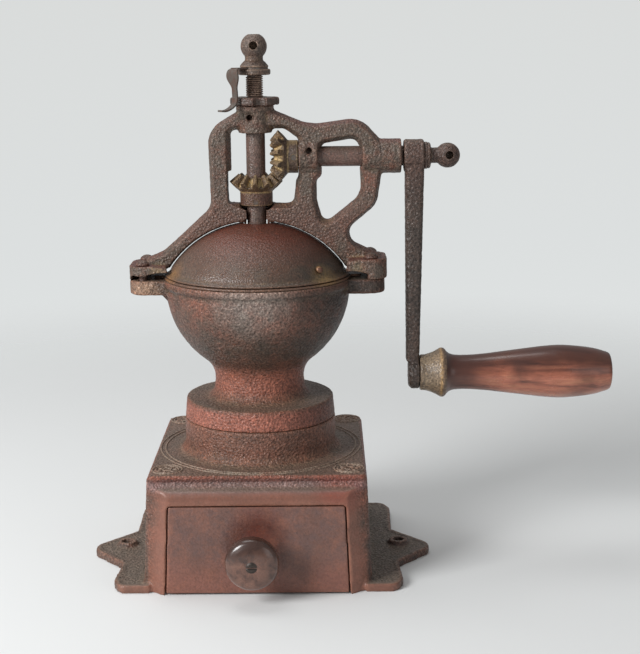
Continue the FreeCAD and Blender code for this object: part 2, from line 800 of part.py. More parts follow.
def rear_cover():
    outer_r = cover_r - cover_sheet - cover_nest_gap
    inner_r = outer_r - cover_sheet
    ring_top = rim_z + cover_sheet
    start = dome_reach(outer_r, ring_top - 0.5)
    end = dome_reach(inner_r, ring_top - 0.5)
    hole = cover_hole_r - 1
    shell = lathe_z([(end, ring_top - 0.5), (start, ring_top - 0.5),
                     (dome_point(outer_r, start * 0.62), dome_point(outer_r, hole)),
                     dome_point(inner_r, hole),
                     (dome_point(inner_r, start * 0.62), (end, ring_top - 0.5))])
    shell = shell.common(block(-cover_r, cover_r, -cover_overlap, cover_r, rim_z - 1, rim_z + 60))
    ring_r = cover_r - cover_ring_inset
    ring = cylinder_z(ring_r, rim_z, ring_top)
    ring = ring.cut(cylinder_z(ring_r - cover_ring_width, rim_z - 1, ring_top + 1))
    ears = []
    for side in (-1, 1):
        corners = [(ring_r - 3, -cover_ear_half_y - 3, 0), (cover_ear_x, -cover_ear_half_y, 3),
                   (cover_ear_x, cover_ear_half_y, 3), (ring_r - 3, cover_ear_half_y + 3, 0)]
        ears.append(prism_z(corner_path([(side * x, y, r) for x, y, r in corners]), rim_z, ring_top))
    return shell.fuse([ring] + ears)


def front_cover():
    inner_r = cover_r - cover_sheet
    low = rim_z + cover_sheet + moving_gap
    top = low + cover_flange
    flare = dome_reach(cover_r, top + 3.2)
    flange_r = cover_r - cover_flange_inset
    shell = lathe_z([(dome_reach(inner_r, low), low), (flange_r, low), (flange_r, top - 0.3),
                     ((flare + 1.3, top + 0.9), (flare, top + 3.2)),
                     (dome_point(cover_r, flare * 0.62), dome_point(cover_r, cover_hole_r)),
                     dome_point(inner_r, cover_hole_r),
                     (dome_point(inner_r, flare * 0.62), (dome_reach(inner_r, low), low))])
    front_half = block(-cover_r, cover_r, -cover_r, 0, low - 1, low + 60)
    lap_r = dome_reach(cover_r, top + 3.2)
    lap = cylinder_z(lap_r, top + 3.2, low + 60).common(block(-lap_r, lap_r, -1, cover_overlap, low, low + 60))
    rivet_hole = at_cover_knob(cylinder_z(cover_rivet_r, -cover_sheet - 1, 1))
    return shell.common(front_half.fuse(lap)).cut(rivet_hole)


def cover_knob():
    knob = lathe_z([(0, -cover_sheet), (cover_rivet_r, -cover_sheet),
                    (cover_rivet_r, 0), (cover_knob_r - 0.8, 0),
                    (cover_knob_r, 1.2), dome(cover_knob_r, 1.2, 2.2)])
    return at_cover_knob(knob)


def at_cover_knob(knob):
    reach = dome_reach(cover_r, cover_knob_z)
    lift = math.degrees(math.acos(reach / cover_r))
    knob.rotate(V(0, 0, 0), V(0, 1, 0), 90 - lift)
    knob.translate(V(reach, 0, cover_knob_z))
    knob.rotate(V(0, 0, 0), V(0, 0, 1), cover_knob_azimuth)
    return knob


# Miter gears

def involute(angle):
    return math.tan(angle) - angle


def tooth_section(scale):
    """One tooth across the outer end of the pitch cone, scaled towards the apex at the origin."""
    pitch_r = gear_teeth * gear_module / 2
    back_r = pitch_r * math.sqrt(2)
    base_r = back_r * math.cos(math.radians(pressure_angle))
    half_thickness = (math.pi * gear_module / 2 - gear_backlash) / 2
    rise = math.sqrt(0.5)

    def half_angle(radius):
        pressure = math.acos(min(1.0, base_r / radius))
        return half_thickness / back_r + involute(math.radians(pressure_angle)) - involute(pressure)

    def place(radius, angle):
        across = radius * math.sin(angle)
        height = radius * math.cos(angle) - back_r
        return V((pitch_r + height * rise) * scale, across * scale, (-pitch_r + height * rise) * scale)

    root_r = back_r - gear_dedendum * gear_module - 0.8
    tip_r = back_r + gear_addendum * gear_module
    base_angle = half_angle(base_r)
    left = [place(root_r, -base_angle), place(base_r, -base_angle),
            place(back_r, -half_angle(back_r)), place(tip_r, -half_angle(tip_r))]
    right = [place(root_r, base_angle), place(base_r, base_angle),
             place(back_r, half_angle(back_r)), place(tip_r, half_angle(tip_r))]
    edges = [Part.makeLine(left[0], left[1]), Part.Arc(left[1], left[2], left[3]).toShape(),
             Part.makeLine(left[3], right[3]), Part.Arc(right[3], right[2], right[1]).toShape(),
             Part.makeLine(right[1], right[0]), Part.makeLine(right[0], left[0])]
    return Part.Wire(edges)


def miter_gear(hub_end, bore_r, first_tooth):
    """A bevel gear on the Z axis below its cone's apex, which is at the origin."""
    pitch_r = gear_teeth * gear_module / 2
    cone_length = pitch_r * math.sqrt(2)
    inner_scale = (cone_length - gear_face) / cone_length
    root = gear_dedendum * gear_module * math.sqrt(0.5)
    outer = (pitch_r - root, -pitch_r - root)
    inner = (outer[0] * inner_scale, outer[1] * inner_scale)
    body = lathe_z([(0, inner[1]), inner, outer, (gear_hub_r, -gear_cone_end),
                    (gear_hub_r, -hub_end), (0, -hub_end)])
    tooth = Part.makeLoft([tooth_section(1.0), tooth_section(inner_scale)], True, True)
    teeth = []
    for i in range(gear_teeth):
        copy = tooth.copy()
        copy.rotate(V(0, 0, 0), V(0, 0, 1), first_tooth + 360 / gear_teeth * i)
        teeth.append(copy)
    gear = body.fuse(teeth)
    pin_z = -hub_end + 2.6
    pin_hole = cylinder_y(pin_r, -gear_hub_r - 1, gear_hub_r + 1, 0, pin_z)
    return gear.cut([cylinder_z(bore_r, -hub_end - 1, 0), pin_hole])


def arbor_gear():
    """The setting screw holds the arbor a little below full mesh."""
    gear = miter_gear(arbor_gear_hub_end - arbor_gear_drop, arbor_r, 0.0)
    gear.translate(V(0, 0, shaft_z - arbor_gear_drop))
    return gear


def onto_crank_shaft(shape):
    shape.rotate(V(0, 0, 0), V(0, 1, 0), -90)
    shape.translate(V(0, 0, shaft_z))
    return shape


def crank_gear():
    return onto_crank_shaft(miter_gear(crank_gear_hub_end, shaft_r, 180 / gear_teeth))


def gear_pin(hub_end):
    return cylinder_y(pin_r, -gear_hub_r + 0.2, gear_hub_r - 0.2, 0, -hub_end + 2.6)


def arbor_gear_pin():
    pin = gear_pin(arbor_gear_hub_end)
    pin.translate(V(0, 0, shaft_z))
    return pin


def crank_gear_pin():
    return onto_crank_shaft(gear_pin(crank_gear_hub_end))


# Arbor, burrs and lower bearing

def burr_pin_z():
    return inner_burr_top_z - 4


def arbor():
    rod = lathe_z([(0, arbor_bottom_z), (arbor_r - 1, arbor_bottom_z), (arbor_r, arbor_bottom_z + 1),
                   (arbor_r, arbor_top_z), (0, arbor_top_z)])
    pin_z = shaft_z - arbor_gear_hub_end + 2.6
    return rod.cut([cylinder_y(pin_r, -arbor_r - 1, arbor_r + 1, 0, pin_z),
                    cylinder_x(pin_r, -arbor_r - 1, arbor_r + 1, 0, burr_pin_z())])


def star_wire(tip_r, valley_r, z, turn):
    points = []
    for i in range(2 * burr_teeth):
        angle = math.radians(turn + 180 / burr_teeth * i)
        radius = tip_r if i % 2 == 0 else valley_r
        points.append(V(radius * math.cos(angle), radius * math.sin(angle), z))
    return Part.makePolygon(points + [points[0]])


def inner_burr():
    low = star_wire(inner_burr_bottom_r, inner_burr_bottom_r - burr_tooth_depth, burr_bottom_z, 0)
    high = star_wire(inner_burr_top_r, inner_burr_top_r - burr_tooth_depth * 0.7, inner_burr_top_z, burr_twist)
    cone = Part.makeLoft([low, high], True, True)
    return cone.cut([cylinder_z(arbor_r, burr_bottom_z - 1, inner_burr_top_z + 1),
                     cylinder_x(pin_r, -inner_burr_top_r - 5, inner_burr_top_r + 5, 0, burr_pin_z())])


def burr_pin():
    reach = inner_burr_top_r - 1.5
    return cylinder_x(pin_r, -reach, reach, 0, burr_pin_z())


def outer_burr():
    low = star_wire(outer_burr_bottom_r, outer_burr_bottom_r + burr_tooth_depth, burr_bottom_z - 0.01, 0)
    high = star_wire(outer_burr_top_r, outer_burr_top_r + burr_tooth_depth, boss_top_z + 0.01, -burr_twist)
    ring = cylinder_z(burr_seat_r - running_gap, burr_seat_z, boss_top_z)
    return ring.cut(Part.makeLoft([low, high], True, True))


def lower_bearing():
    roof = plate_z - plate_thickness
    corners = [(-bearing_bar_half_x, -bearing_bar_half_y, 7), (bearing_bar_half_x, -bearing_bar_half_y, 7),
               (bearing_bar_half_x, bearing_bar_half_y, 7), (-bearing_bar_half_x, bearing_bar_half_y, 7)]
    bar = prism_z(corner_path(corners), roof - bearing_bar_thickness, roof)
    shape = bar.fuse(Part.makeCone(bearing_boss_r - 1.5, bearing_boss_r, roof - bearing_boss_z,
                                   V(0, 0, bearing_boss_z), V(0, 0, 1)))
    cuts = [cylinder_z(arbor_r + running_gap, bearing_boss_z - 1, roof + 1)]
    for side in (-1, 1):
        cuts.append(cylinder_z(bearing_screw_r, roof - bearing_bar_thickness - 1, roof + 1,
                               side * bearing_screw_x))
    return shape.cut(cuts)


def bearing_screws():
    bottom = plate_z - plate_thickness - bearing_bar_thickness
    screws = []
    for side in (-1, 1):
        x = side * bearing_screw_x
        head = cylinder_z(bearing_screw_head_r, bottom - 2.4, bottom, x)
        slot = block(x - bearing_screw_head_r, x + bearing_screw_head_r, -0.5, 0.5, bottom - 3, bottom - 1.3)
        screws.append(head.cut(slot).fuse(cylinder_z(bearing_screw_r, bottom, burr_seat_z - 0.5, x)))
    return screws


# Adjusting screw and catch

def thrust_pad():
    return cylinder_z(arbor_r, arbor_top_z, screw_bottom_z)


def adjusting_screw():
    flat_r = math.sqrt(screw_ball_r ** 2 - (screw_top_z - screw_ball_z) ** 2)
    neck_z = screw_ball_z - math.sqrt(screw_ball_r ** 2 - screw_neck_r ** 2)
    body = lathe_z([(0, screw_bottom_z), (screw_r, screw_bottom_z), (screw_r, cone_bottom_z),
                    (cone_bottom_r, cone_bottom_z), (cone_bottom_r, cone_bottom_z + 0.8),
                    (cone_top_r + 0.8, cone_top_z - 0.6),
                    (cone_top_r, cone_top_z), (screw_neck_r, cone_top_z + 0.6), (screw_neck_r, neck_z),
                    ((screw_ball_r, screw_ball_z), (flat_r, screw_top_z)), (0, screw_top_z)])
    return body.cut(cylinder_y(tommy_hole_r, -screw_ball_r - 1, screw_ball_r + 1, 0, screw_ball_z + 0.6))


def catch_plate():
    top = cone_bottom_z - catch_sheet
    return lathe_z([(screw_r, plate_bottom_z), (plate_r - 0.8, plate_bottom_z),
                    (plate_r, plate_bottom_z + 0.8),
                    (plate_r, top - 0.6), (plate_r - 0.6, top), (screw_r, top)])


def index_wheel():
    disc = lathe_z([(screw_r + running_gap, hub_top_z), (index_wheel_r - 0.7, hub_top_z),
                    (index_wheel_r, hub_top_z + 0.8),
                    (index_wheel_r, hub_top_z + index_wheel_thickness - 0.8),
                    (index_wheel_r - 0.8, hub_top_z + index_wheel_thickness),
                    (screw_r + running_gap, hub_top_z + index_wheel_thickness)])
    centre_r = index_wheel_r - index_notch_depth + index_notch_r
    notches = []
    for i in range(index_lobes):
        angle = math.radians(catch_azimuth + 360 / index_lobes * i)
        notches.append(cylinder_z(index_notch_r, hub_top_z - 1, hub_top_z + index_wheel_thickness + 1,
                                  centre_r * math.cos(angle), centre_r * math.sin(angle)))
    return disc.cut(notches)


def at_catch(shape):
    shape.rotate(V(0, 0, 0), V(0, 0, 1), catch_azimuth)
    return shape


def catch_strap():
    low = cone_bottom_z - catch_sheet
    eye = cylinder_z(catch_eye_r, low, cone_bottom_z)
    tang = block(catch_eye_r - 3, catch_bend_r - moving_gap / 2, -catch_strap_half, catch_strap_half,
                 low, cone_bottom_z)
    return at_catch(eye.fuse(tang).cut(cylinder_z(screw_r, low - 1, cone_bottom_z + 1)))


def catch_leaf():
    """The sprung leaf beyond the bend: its side view, cut to its outline as seen along the radius."""
    z = cone_bottom_z - catch_sheet / 2
    nose_r = index_wheel_r + catch_sheet + moving_gap + 0.1
    line = [(catch_bend_r + moving_gap / 2, z), (catch_bend_r + 1.7, z - 1.0), (catch_bend_r + 2.1, z - 3.8),
            (catch_bend_r + 1.7, z - 7.0), (nose_r + 0.2, z - 11.6), (nose_r, z - 14.6),
            (nose_r + 0.2, z - 19.6),
            (nose_r + 3.2, z - 22.6), (nose_r + 11.6, z - 24.0)]
    curve = Part.BSplineCurve()
    curve.interpolate([V(u, 0, v) for u, v in line])
    outside = curve.toShape()
    other = Part.BSplineCurve()
    other.interpolate([V(p.x + n.x, 0, p.z + n.z) for p, n in leaf_offsets(curve, line)])
    inside = other.toShape()
    ends = [Part.makeLine(outside.Vertexes[0].Point, inside.Vertexes[0].Point),
            Part.makeLine(outside.Vertexes[-1].Point, inside.Vertexes[-1].Point)]
    side_view = Part.Face(Part.Wire(Part.__sortEdges__([outside, inside] + ends)))
    strip = side_view.extrude(V(0, 2 * catch_bulb_half + 2, 0))
    strip.translate(V(0, -catch_bulb_half - 1, 0))
    half = [(0, z + 2), (catch_strap_half, z + 2), (catch_strap_half, z), (catch_bulb_half, z - 3.4),
            (catch_bulb_half, z - 5.6), (catch_neck_half + 0.3, z - 10.5), (catch_neck_half, z - 13.0),
            (catch_neck_half, z - 21.0), (catch_neck_half - 0.5, z - 27.5), (0, z - 27.5)]
    outline = [half[0], half[1], half[2], (half[3], half[4], half[5], half[6]), half[7], half[8], half[9]]
    wire = path_wire(outline, lambda p: V(0, p[0], p[1]))
    right = Part.Face(wire).extrude(V(60, 0, 0))
    face_view = right.fuse(right.mirror(V(0, 0, 0), V(0, 1, 0)))
    return at_catch(strip.common(face_view))


def leaf_offsets(curve, line):
    """Points of the leaf's centre line with their offset across the sheet."""
    for u, v in line:
        point = V(u, 0, v)
        tangent = curve.tangent(curve.parameter(point))[0]
        yield point, V(tangent.z, 0, -tangent.x) * catch_sheet


# Crank and grip

def crank_axis_z():
    return shaft_z - crank_radius


def crank_shaft():
    gear_face_x = gear_inner_face()
    rod = cylinder_x(shaft_r, gear_face_x, crank_x0 - 0.3, 0, shaft_z)
    half = square_side / 2
    square = block(crank_x0 - 1, crank_x1, -half, half, shaft_z - half, shaft_z + half)
    thread = cylinder_x(shaft_thread_r, crank_x1 - 1, shaft_end_x, 0, shaft_z)
    pin_x = crank_gear_hub_end - 2.6
    return rod.fuse([square, thread]).cut(cylinder_y(pin_r, -shaft_r - 1, shaft_r + 1, pin_x, shaft_z))


def gear_inner_face():
    pitch_r = gear_teeth * gear_module / 2
    cone_length = pitch_r * math.sqrt(2)
    root = gear_dedendum * gear_module * math.sqrt(0.5)
    return (pitch_r + root) * (cone_length - gear_face) / cone_length


def arm_section(z, x0, x1, half_y):
    r = arm_edge_r
    corners = [(x0, -half_y, r), (x1, -half_y, r), (x1, half_y, r), (x0, half_y, r)]
    return path_wire(corner_path(corners), lambda p: V(p[0], p[1], z))


def crank_arm():
    low = crank_axis_z()
    arm = Part.makeLoft([arm_section(shaft_z - 5, arm_top_x0, crank_x1, arm_top_half_y),
                         arm_section(low + 8, arm_bottom_x0, crank_end_x1, arm_bottom_half_y)], True, True)
    x0, x1 = crank_x0, crank_x1
    hub = lathe_x([(0, x0), (crank_hub_r - 1, x0), (crank_hub_r, x0 + 1), (crank_hub_r, x1 - 1),
                   (crank_hub_r - 1, x1), (0, x1)], shaft_z)
    x0, x1 = crank_end_x0, crank_end_x1
    end = lathe_x([(0, x0), (crank_end_r - 2, x0), (crank_end_r, x0 + 2), (crank_end_r, x1 - 0.6),
                   (crank_end_r - 0.6, x1), (0, x1)], low)
    half = square_side / 2
    square = block(crank_x0 - 1, crank_x1 + 1, -half, half, shaft_z - half, shaft_z + half)
    return arm.fuse([hub, end]).cut([square,
                      cylinder_x(spindle_r, crank_end_x0 - 1, crank_end_x1 + 1, 0, low)])


def crank_washer():
    return cylinder_x(washer_r, crank_x1, crank_x1 + washer_thickness, 0, shaft_z).cut(
        cylinder_x(shaft_thread_r, crank_x1 - 1, crank_x1 + washer_thickness + 1, 0, shaft_z))


def crank_nut():
    x0 = crank_x1 + washer_thickness
    neck_x = nut_ball_x - math.sqrt(nut_ball_r ** 2 - nut_neck_r ** 2)
    body = lathe_x([(0, x0), (nut_flange_r, x0), (nut_flange_r, x0 + nut_flange - 0.6),
                    (nut_flange_r - 0.8, x0 + nut_flange),
                    (nut_neck_r, x0 + nut_flange + 0.4), (nut_neck_r, neck_x),
                    ((nut_ball_r, nut_ball_x), (0, nut_ball_x + nut_ball_r))], shaft_z)
    return body.cut([cylinder_x(shaft_thread_r, x0 - 1, shaft_end_x, 0, shaft_z),
                     cylinder_y(tommy_hole_r, -nut_ball_r - 1, nut_ball_r + 1,
                                nut_ball_x + 0.8, shaft_z + 0.5)])


def grip_spindle():
    z = crank_axis_z()
    rod = cylinder_x(spindle_r, crank_end_x0, grip_end_x - spindle_head, 0, z)
    start = grip_end_x - spindle_head
    head = lathe_x([(0, start), (spindle_head_r, start), (spindle_head_r, start + 0.8),
                    dome(spindle_head_r, start + 0.8, spindle_head - 1)], z)
    return rod.fuse(head)


def ferrule():
    x0 = grip_start_x
    x1 = ferrule_end_x
    bore = spindle_r + running_gap
    return lathe_x([(bore, x0), (10.6, x0), (11.1, x0 + 0.5), ((12.3, x0 + 6.5), (14.6, x0 + 11.4)),
                    ((15.6, x0 + 13.6), (14.7, x1 - 0.4)), (14.3, x1), (bore, x1)], crank_axis_z())


def grip():
    x0 = ferrule_end_x
    x1 = grip_end_x
    bore = spindle_r + running_gap
    socket_x = x1 - spindle_head - moving_gap
    socket_r = spindle_head_r + moving_gap
    belly = ((11.0, x0 + 5.9), (11.3, x0 + 21.4), (13.2, x0 + 37.4), (15.1, x0 + 53),
             (16.7, x0 + 72), (14.8, x0 + 92.4), (11.8, x1 - 1.4))
    return lathe_x([(bore, x0), (14.0, x0), belly, ((10.9, x1 - 0.3), (9.8, x1)), (socket_r, x1),
                    (socket_r, socket_x), (bore, socket_x)], crank_axis_z())


save("base_casting", base_casting())
save("drawer_front", drawer_front())
save("drawer_tray", drawer_tray())
save("drawer_knob", drawer_knob())
save("knob_screw", knob_screw())
save("knob_nut", knob_nut())
save("hopper", hopper())
save("hopper_screws", *hopper_screws())
save("bridge", bridge())
save("bridge_bolts", *bridge_bolts())
save("rear_cover", rear_cover())
save("front_cover", front_cover())
save("cover_knob", cover_knob())
save("outer_burr", outer_burr())
save("inner_burr", inner_burr())
save("burr_pin", burr_pin())
save("lower_bearing", lower_bearing())
save("bearing_screws", *bearing_screws())
save("arbor", arbor())
save("arbor_gear", arbor_gear())
save("arbor_gear_pin", arbor_gear_pin())
save("thrust_pad", thrust_pad())
save("adjusting_screw", adjusting_screw())
save("catch_plate", catch_plate())
save("catch_strap", catch_strap())
save("catch_leaf", catch_leaf())
save("index_wheel", index_wheel())
save("crank_shaft", crank_shaft())
save("crank_gear", crank_gear())
save("crank_gear_pin", crank_gear_pin())
save("crank_arm", crank_arm())
save("crank_washer", crank_washer())
save("crank_nut", crank_nut())
save("grip_spindle", grip_spindle())
save("ferrule", ferrule())
save("grip", grip())
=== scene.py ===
"""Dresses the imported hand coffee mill: worn painted castings, dusty gears, a mahogany grip and a plain studio."""
import json
import math

import bmesh
import bpy
import numpy as np
from bpy.props import FloatProperty, FloatVectorProperty, IntProperty, PointerProperty
from mathutils import Matrix, Vector


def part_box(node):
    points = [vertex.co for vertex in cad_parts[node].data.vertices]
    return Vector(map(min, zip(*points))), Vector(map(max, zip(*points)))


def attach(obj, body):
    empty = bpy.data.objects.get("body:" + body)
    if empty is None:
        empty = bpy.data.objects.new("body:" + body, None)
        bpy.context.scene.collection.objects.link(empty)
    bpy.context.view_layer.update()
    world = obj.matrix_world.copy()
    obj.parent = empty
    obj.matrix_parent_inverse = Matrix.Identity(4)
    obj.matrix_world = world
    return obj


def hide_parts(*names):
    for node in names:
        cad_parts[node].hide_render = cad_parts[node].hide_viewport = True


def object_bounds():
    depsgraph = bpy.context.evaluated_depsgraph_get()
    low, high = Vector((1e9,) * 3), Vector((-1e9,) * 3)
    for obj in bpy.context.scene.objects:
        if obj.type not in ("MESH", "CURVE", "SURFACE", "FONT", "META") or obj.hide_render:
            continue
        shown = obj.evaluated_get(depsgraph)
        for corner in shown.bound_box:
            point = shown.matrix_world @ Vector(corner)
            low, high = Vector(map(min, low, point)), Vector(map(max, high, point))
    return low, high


bl_info = {
    "name": "Hand Coffee Mill Dresser",
    "version": (1, 0, 0),
    "blender": (4, 5, 0),
    "location": "3D View > Sidebar > Coffee Mill",
    "description": "Gives the packed hand coffee mill its worn surfaces, ornament and studio",
    "category": "Object",
}

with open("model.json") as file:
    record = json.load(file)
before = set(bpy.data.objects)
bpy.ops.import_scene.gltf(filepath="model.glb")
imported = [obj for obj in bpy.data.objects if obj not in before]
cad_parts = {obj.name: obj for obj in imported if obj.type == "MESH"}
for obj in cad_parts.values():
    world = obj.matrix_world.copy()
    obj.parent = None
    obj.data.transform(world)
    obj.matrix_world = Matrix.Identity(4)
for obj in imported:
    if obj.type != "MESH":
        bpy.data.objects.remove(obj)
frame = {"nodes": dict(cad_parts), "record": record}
CAD_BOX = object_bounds()
MM = 0.001
BODY_OF = {node: body for body, nodes in frame["record"]["behaviour"]["bodies"].items() for node in nodes}
PLATE_TOP = 71.5 * MM
WHEEL_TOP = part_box("index_wheel")[1].z
CATCH_PLATE_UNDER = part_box("catch_plate")[0].z
SCREW_RADIUS = 5.3 * MM
GRIP_Z = (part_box("ferrule")[0].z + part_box("ferrule")[1].z) / 2
SHAFT_Z = 255.1 * MM

# The bridge's arch round the lid's dome: the dome's centre, the arch's radius and how far above the centre it starts
DOME_Z = 149.9 * MM
ARCH_RADIUS = 67.1 * MM
ARCH_SPRING = 36 * MM
# How far the arch is drawn in, how thick a layer of it moves and from where it is hollowed like the dome
ARCH_PULL = 1.15 * MM
ARCH_LAYER = 9 * MM
ARCH_HOLLOW_FROM = 9 * MM
# The bar of the bridge round the spindle: where its cheeks begin and end, and where their lips end
CHEEK_LOW, CHEEK_HIGH, LIP_LOW = 216.4 * MM, 222.8 * MM, 214.7 * MM
# The boss at the crank gear: its two ends, the layer of it that moves and how much that grows
BOSS_ENDS = 26.2 * MM, 38.4 * MM
BOSS_LAYER = 8.5 * MM, 11.2 * MM
BOSS_GROWTH = 1.06

# Sizes of the stains on old paint: large blotches, and the mottle that breaks up every border
BLOTCH = 24 * MM
MOTTLE = 9 * MM
# The end of a zone that has no border of its own, because it lies outside the piece
OUT = 200 * MM

# The camera: its lens and the height of the picture in pixels, its pitch, yaw and roll in degrees,
# the point that it looks at and how far away that is
LENS_PIXELS, PICTURE_PIXELS = 1393.25, 654.0
CAMERA_TURN = 11.902, 0.231, -0.539
CAMERA_AIM = 0.03846, 0.0, 0.14795
CAMERA_DISTANCE = 0.87754


def srgb(code):
    """Turns a hex colour as it is seen into the linear one that shaders take."""
    values = [int(code[i:i + 2], 16) / 255 for i in (1, 3, 5)]
    return tuple(v / 12.92 if v <= 0.04045 else ((v + 0.055) / 1.055) ** 2.4 for v in values) + (1.0,)


def colour(name, description, code):
    """A colour that the user can change."""
    return FloatVectorProperty(name=name, description=description, default=srgb(code)[:3],
                               subtype="COLOR", size=3, min=0.0, max=1.0)


def length(name, description, millimetres):
    """A length that the user can change."""
    return FloatProperty(name=name, description=description, default=millimetres * MM,
                         min=0.0, unit="LENGTH", subtype="DISTANCE")


class MillSizes(bpy.types.PropertyGroup):
    """Sizes of the added relief and of the surface cells."""
    casting_cell: length("Casting cell", "Cell of the skin on the box casting", 1.15)
    bowl_cell: length("Bowl cell", "Cell of the skin on the hopper, bridge, lid and crank arm", 0.85)
    fine_cell: length("Fine cell", "Cell of the skin on small turned and cut parts", 0.42)
    sand_grain: length("Sand grain", "Size of the rough sand grain left on the castings", 3.2)
    sand_depth: length("Sand depth", "Depth of that grain", 0.16)
    ring_radius: length("Ring radius", "Radius of the outer raised ring on the plate", 63.6)
    ring_gap: length("Ring gap", "Distance between the two raised rings", 3.0)
    ring_bead: length("Ring bead", "Radius of the bead that forms the rings", 0.6)
    rosette_radius: length("Rosette radius", "Radius of a corner rosette", 9.0)
    rosette_reach_x: length("Rosette spacing across", "Distance between rosettes from side to side", 110.0)
    rosette_reach_y: length("Rosette spacing along", "Distance between rosettes from front to back", 111.0)
    thread_pitch: length("Thread pitch", "Pitch of the setting screw", 1.3)
    thread_depth: length("Thread depth", "Depth of the setting screw's thread", 0.8)
    petals: IntProperty(name="Petals", description="Petals of a corner rosette", default=7, min=3, max=16)


class MillColours(bpy.types.PropertyGroup):
    """Main colours of the finish, as they look in plain light."""
    paint: colour("Paint", "Old red-brown paint", "#80503f")
    deep_paint: colour("Deep paint", "The same paint where grime darkens it", "#4f3b31")
    bare_iron: colour("Bare iron", "Grey-brown iron where the paint is gone", "#5b4f45")
    worn_edge: colour("Worn edge", "Bright red-brown of rubbed edges", "#94644f")
    dust: colour("Dust", "Dried coffee dust and rust in the corners", "#9c8556")
    drawer: colour("Drawer paint", "Smoother paint of the drawer", "#875a4a")
    grip: colour("Grip", "Polished red hardwood", "#a6644e")
    floor: colour("Floor", "Pale studio floor", "#dee0e0")


def add(tree, kind, inputs=None, stops=None, **settings):
    """Adds one node with its settings, its values and what feeds it.

    A node that is given as an input stands for its first output."""
    made = tree.nodes.new(kind)
    for name, value in settings.items():
        setattr(made, name, value)
    if stops:
        ramp = made.color_ramp
        ramp.elements.remove(ramp.elements[1])
        ramp.elements[0].position = stops[0][0]
        ramp.elements[0].color = stops[0][1]
        for place, tint in stops[1:]:
            ramp.elements.new(place).color = tint
    for key, value in (inputs or {}).items():
        if isinstance(value, bpy.types.Node):
            value = value.outputs[0]
        if isinstance(value, bpy.types.NodeSocket):
            tree.links.new(value, made.inputs[key])
        else:
            made.inputs[key].default_value = value
    return made


def new_material(name):
    """An empty node material and its tree."""
    material = bpy.data.materials.new(name)
    material.use_nodes = True
    material.node_tree.nodes.clear()
    return material, material.node_tree


def four(values):
    """A colour with a full alpha."""
    return (*values[:3], 1.0)


def band(tree, value, low, high, soft):
    """One inside a span of a measure, fading out over a soft border."""
    rise = add(tree, "ShaderNodeMapRange", {"Value": value, "From Min": low - soft, "From Max": low + soft})
    fall = add(tree, "ShaderNodeMapRange", {"Value": value, "From Min": high - soft, "From Max": high + soft,
                                            "To Min": 1.0, "To Max": 0.0})
    return add(tree, "ShaderNodeMath", {0: rise, 1: fall}, operation="MULTIPLY")


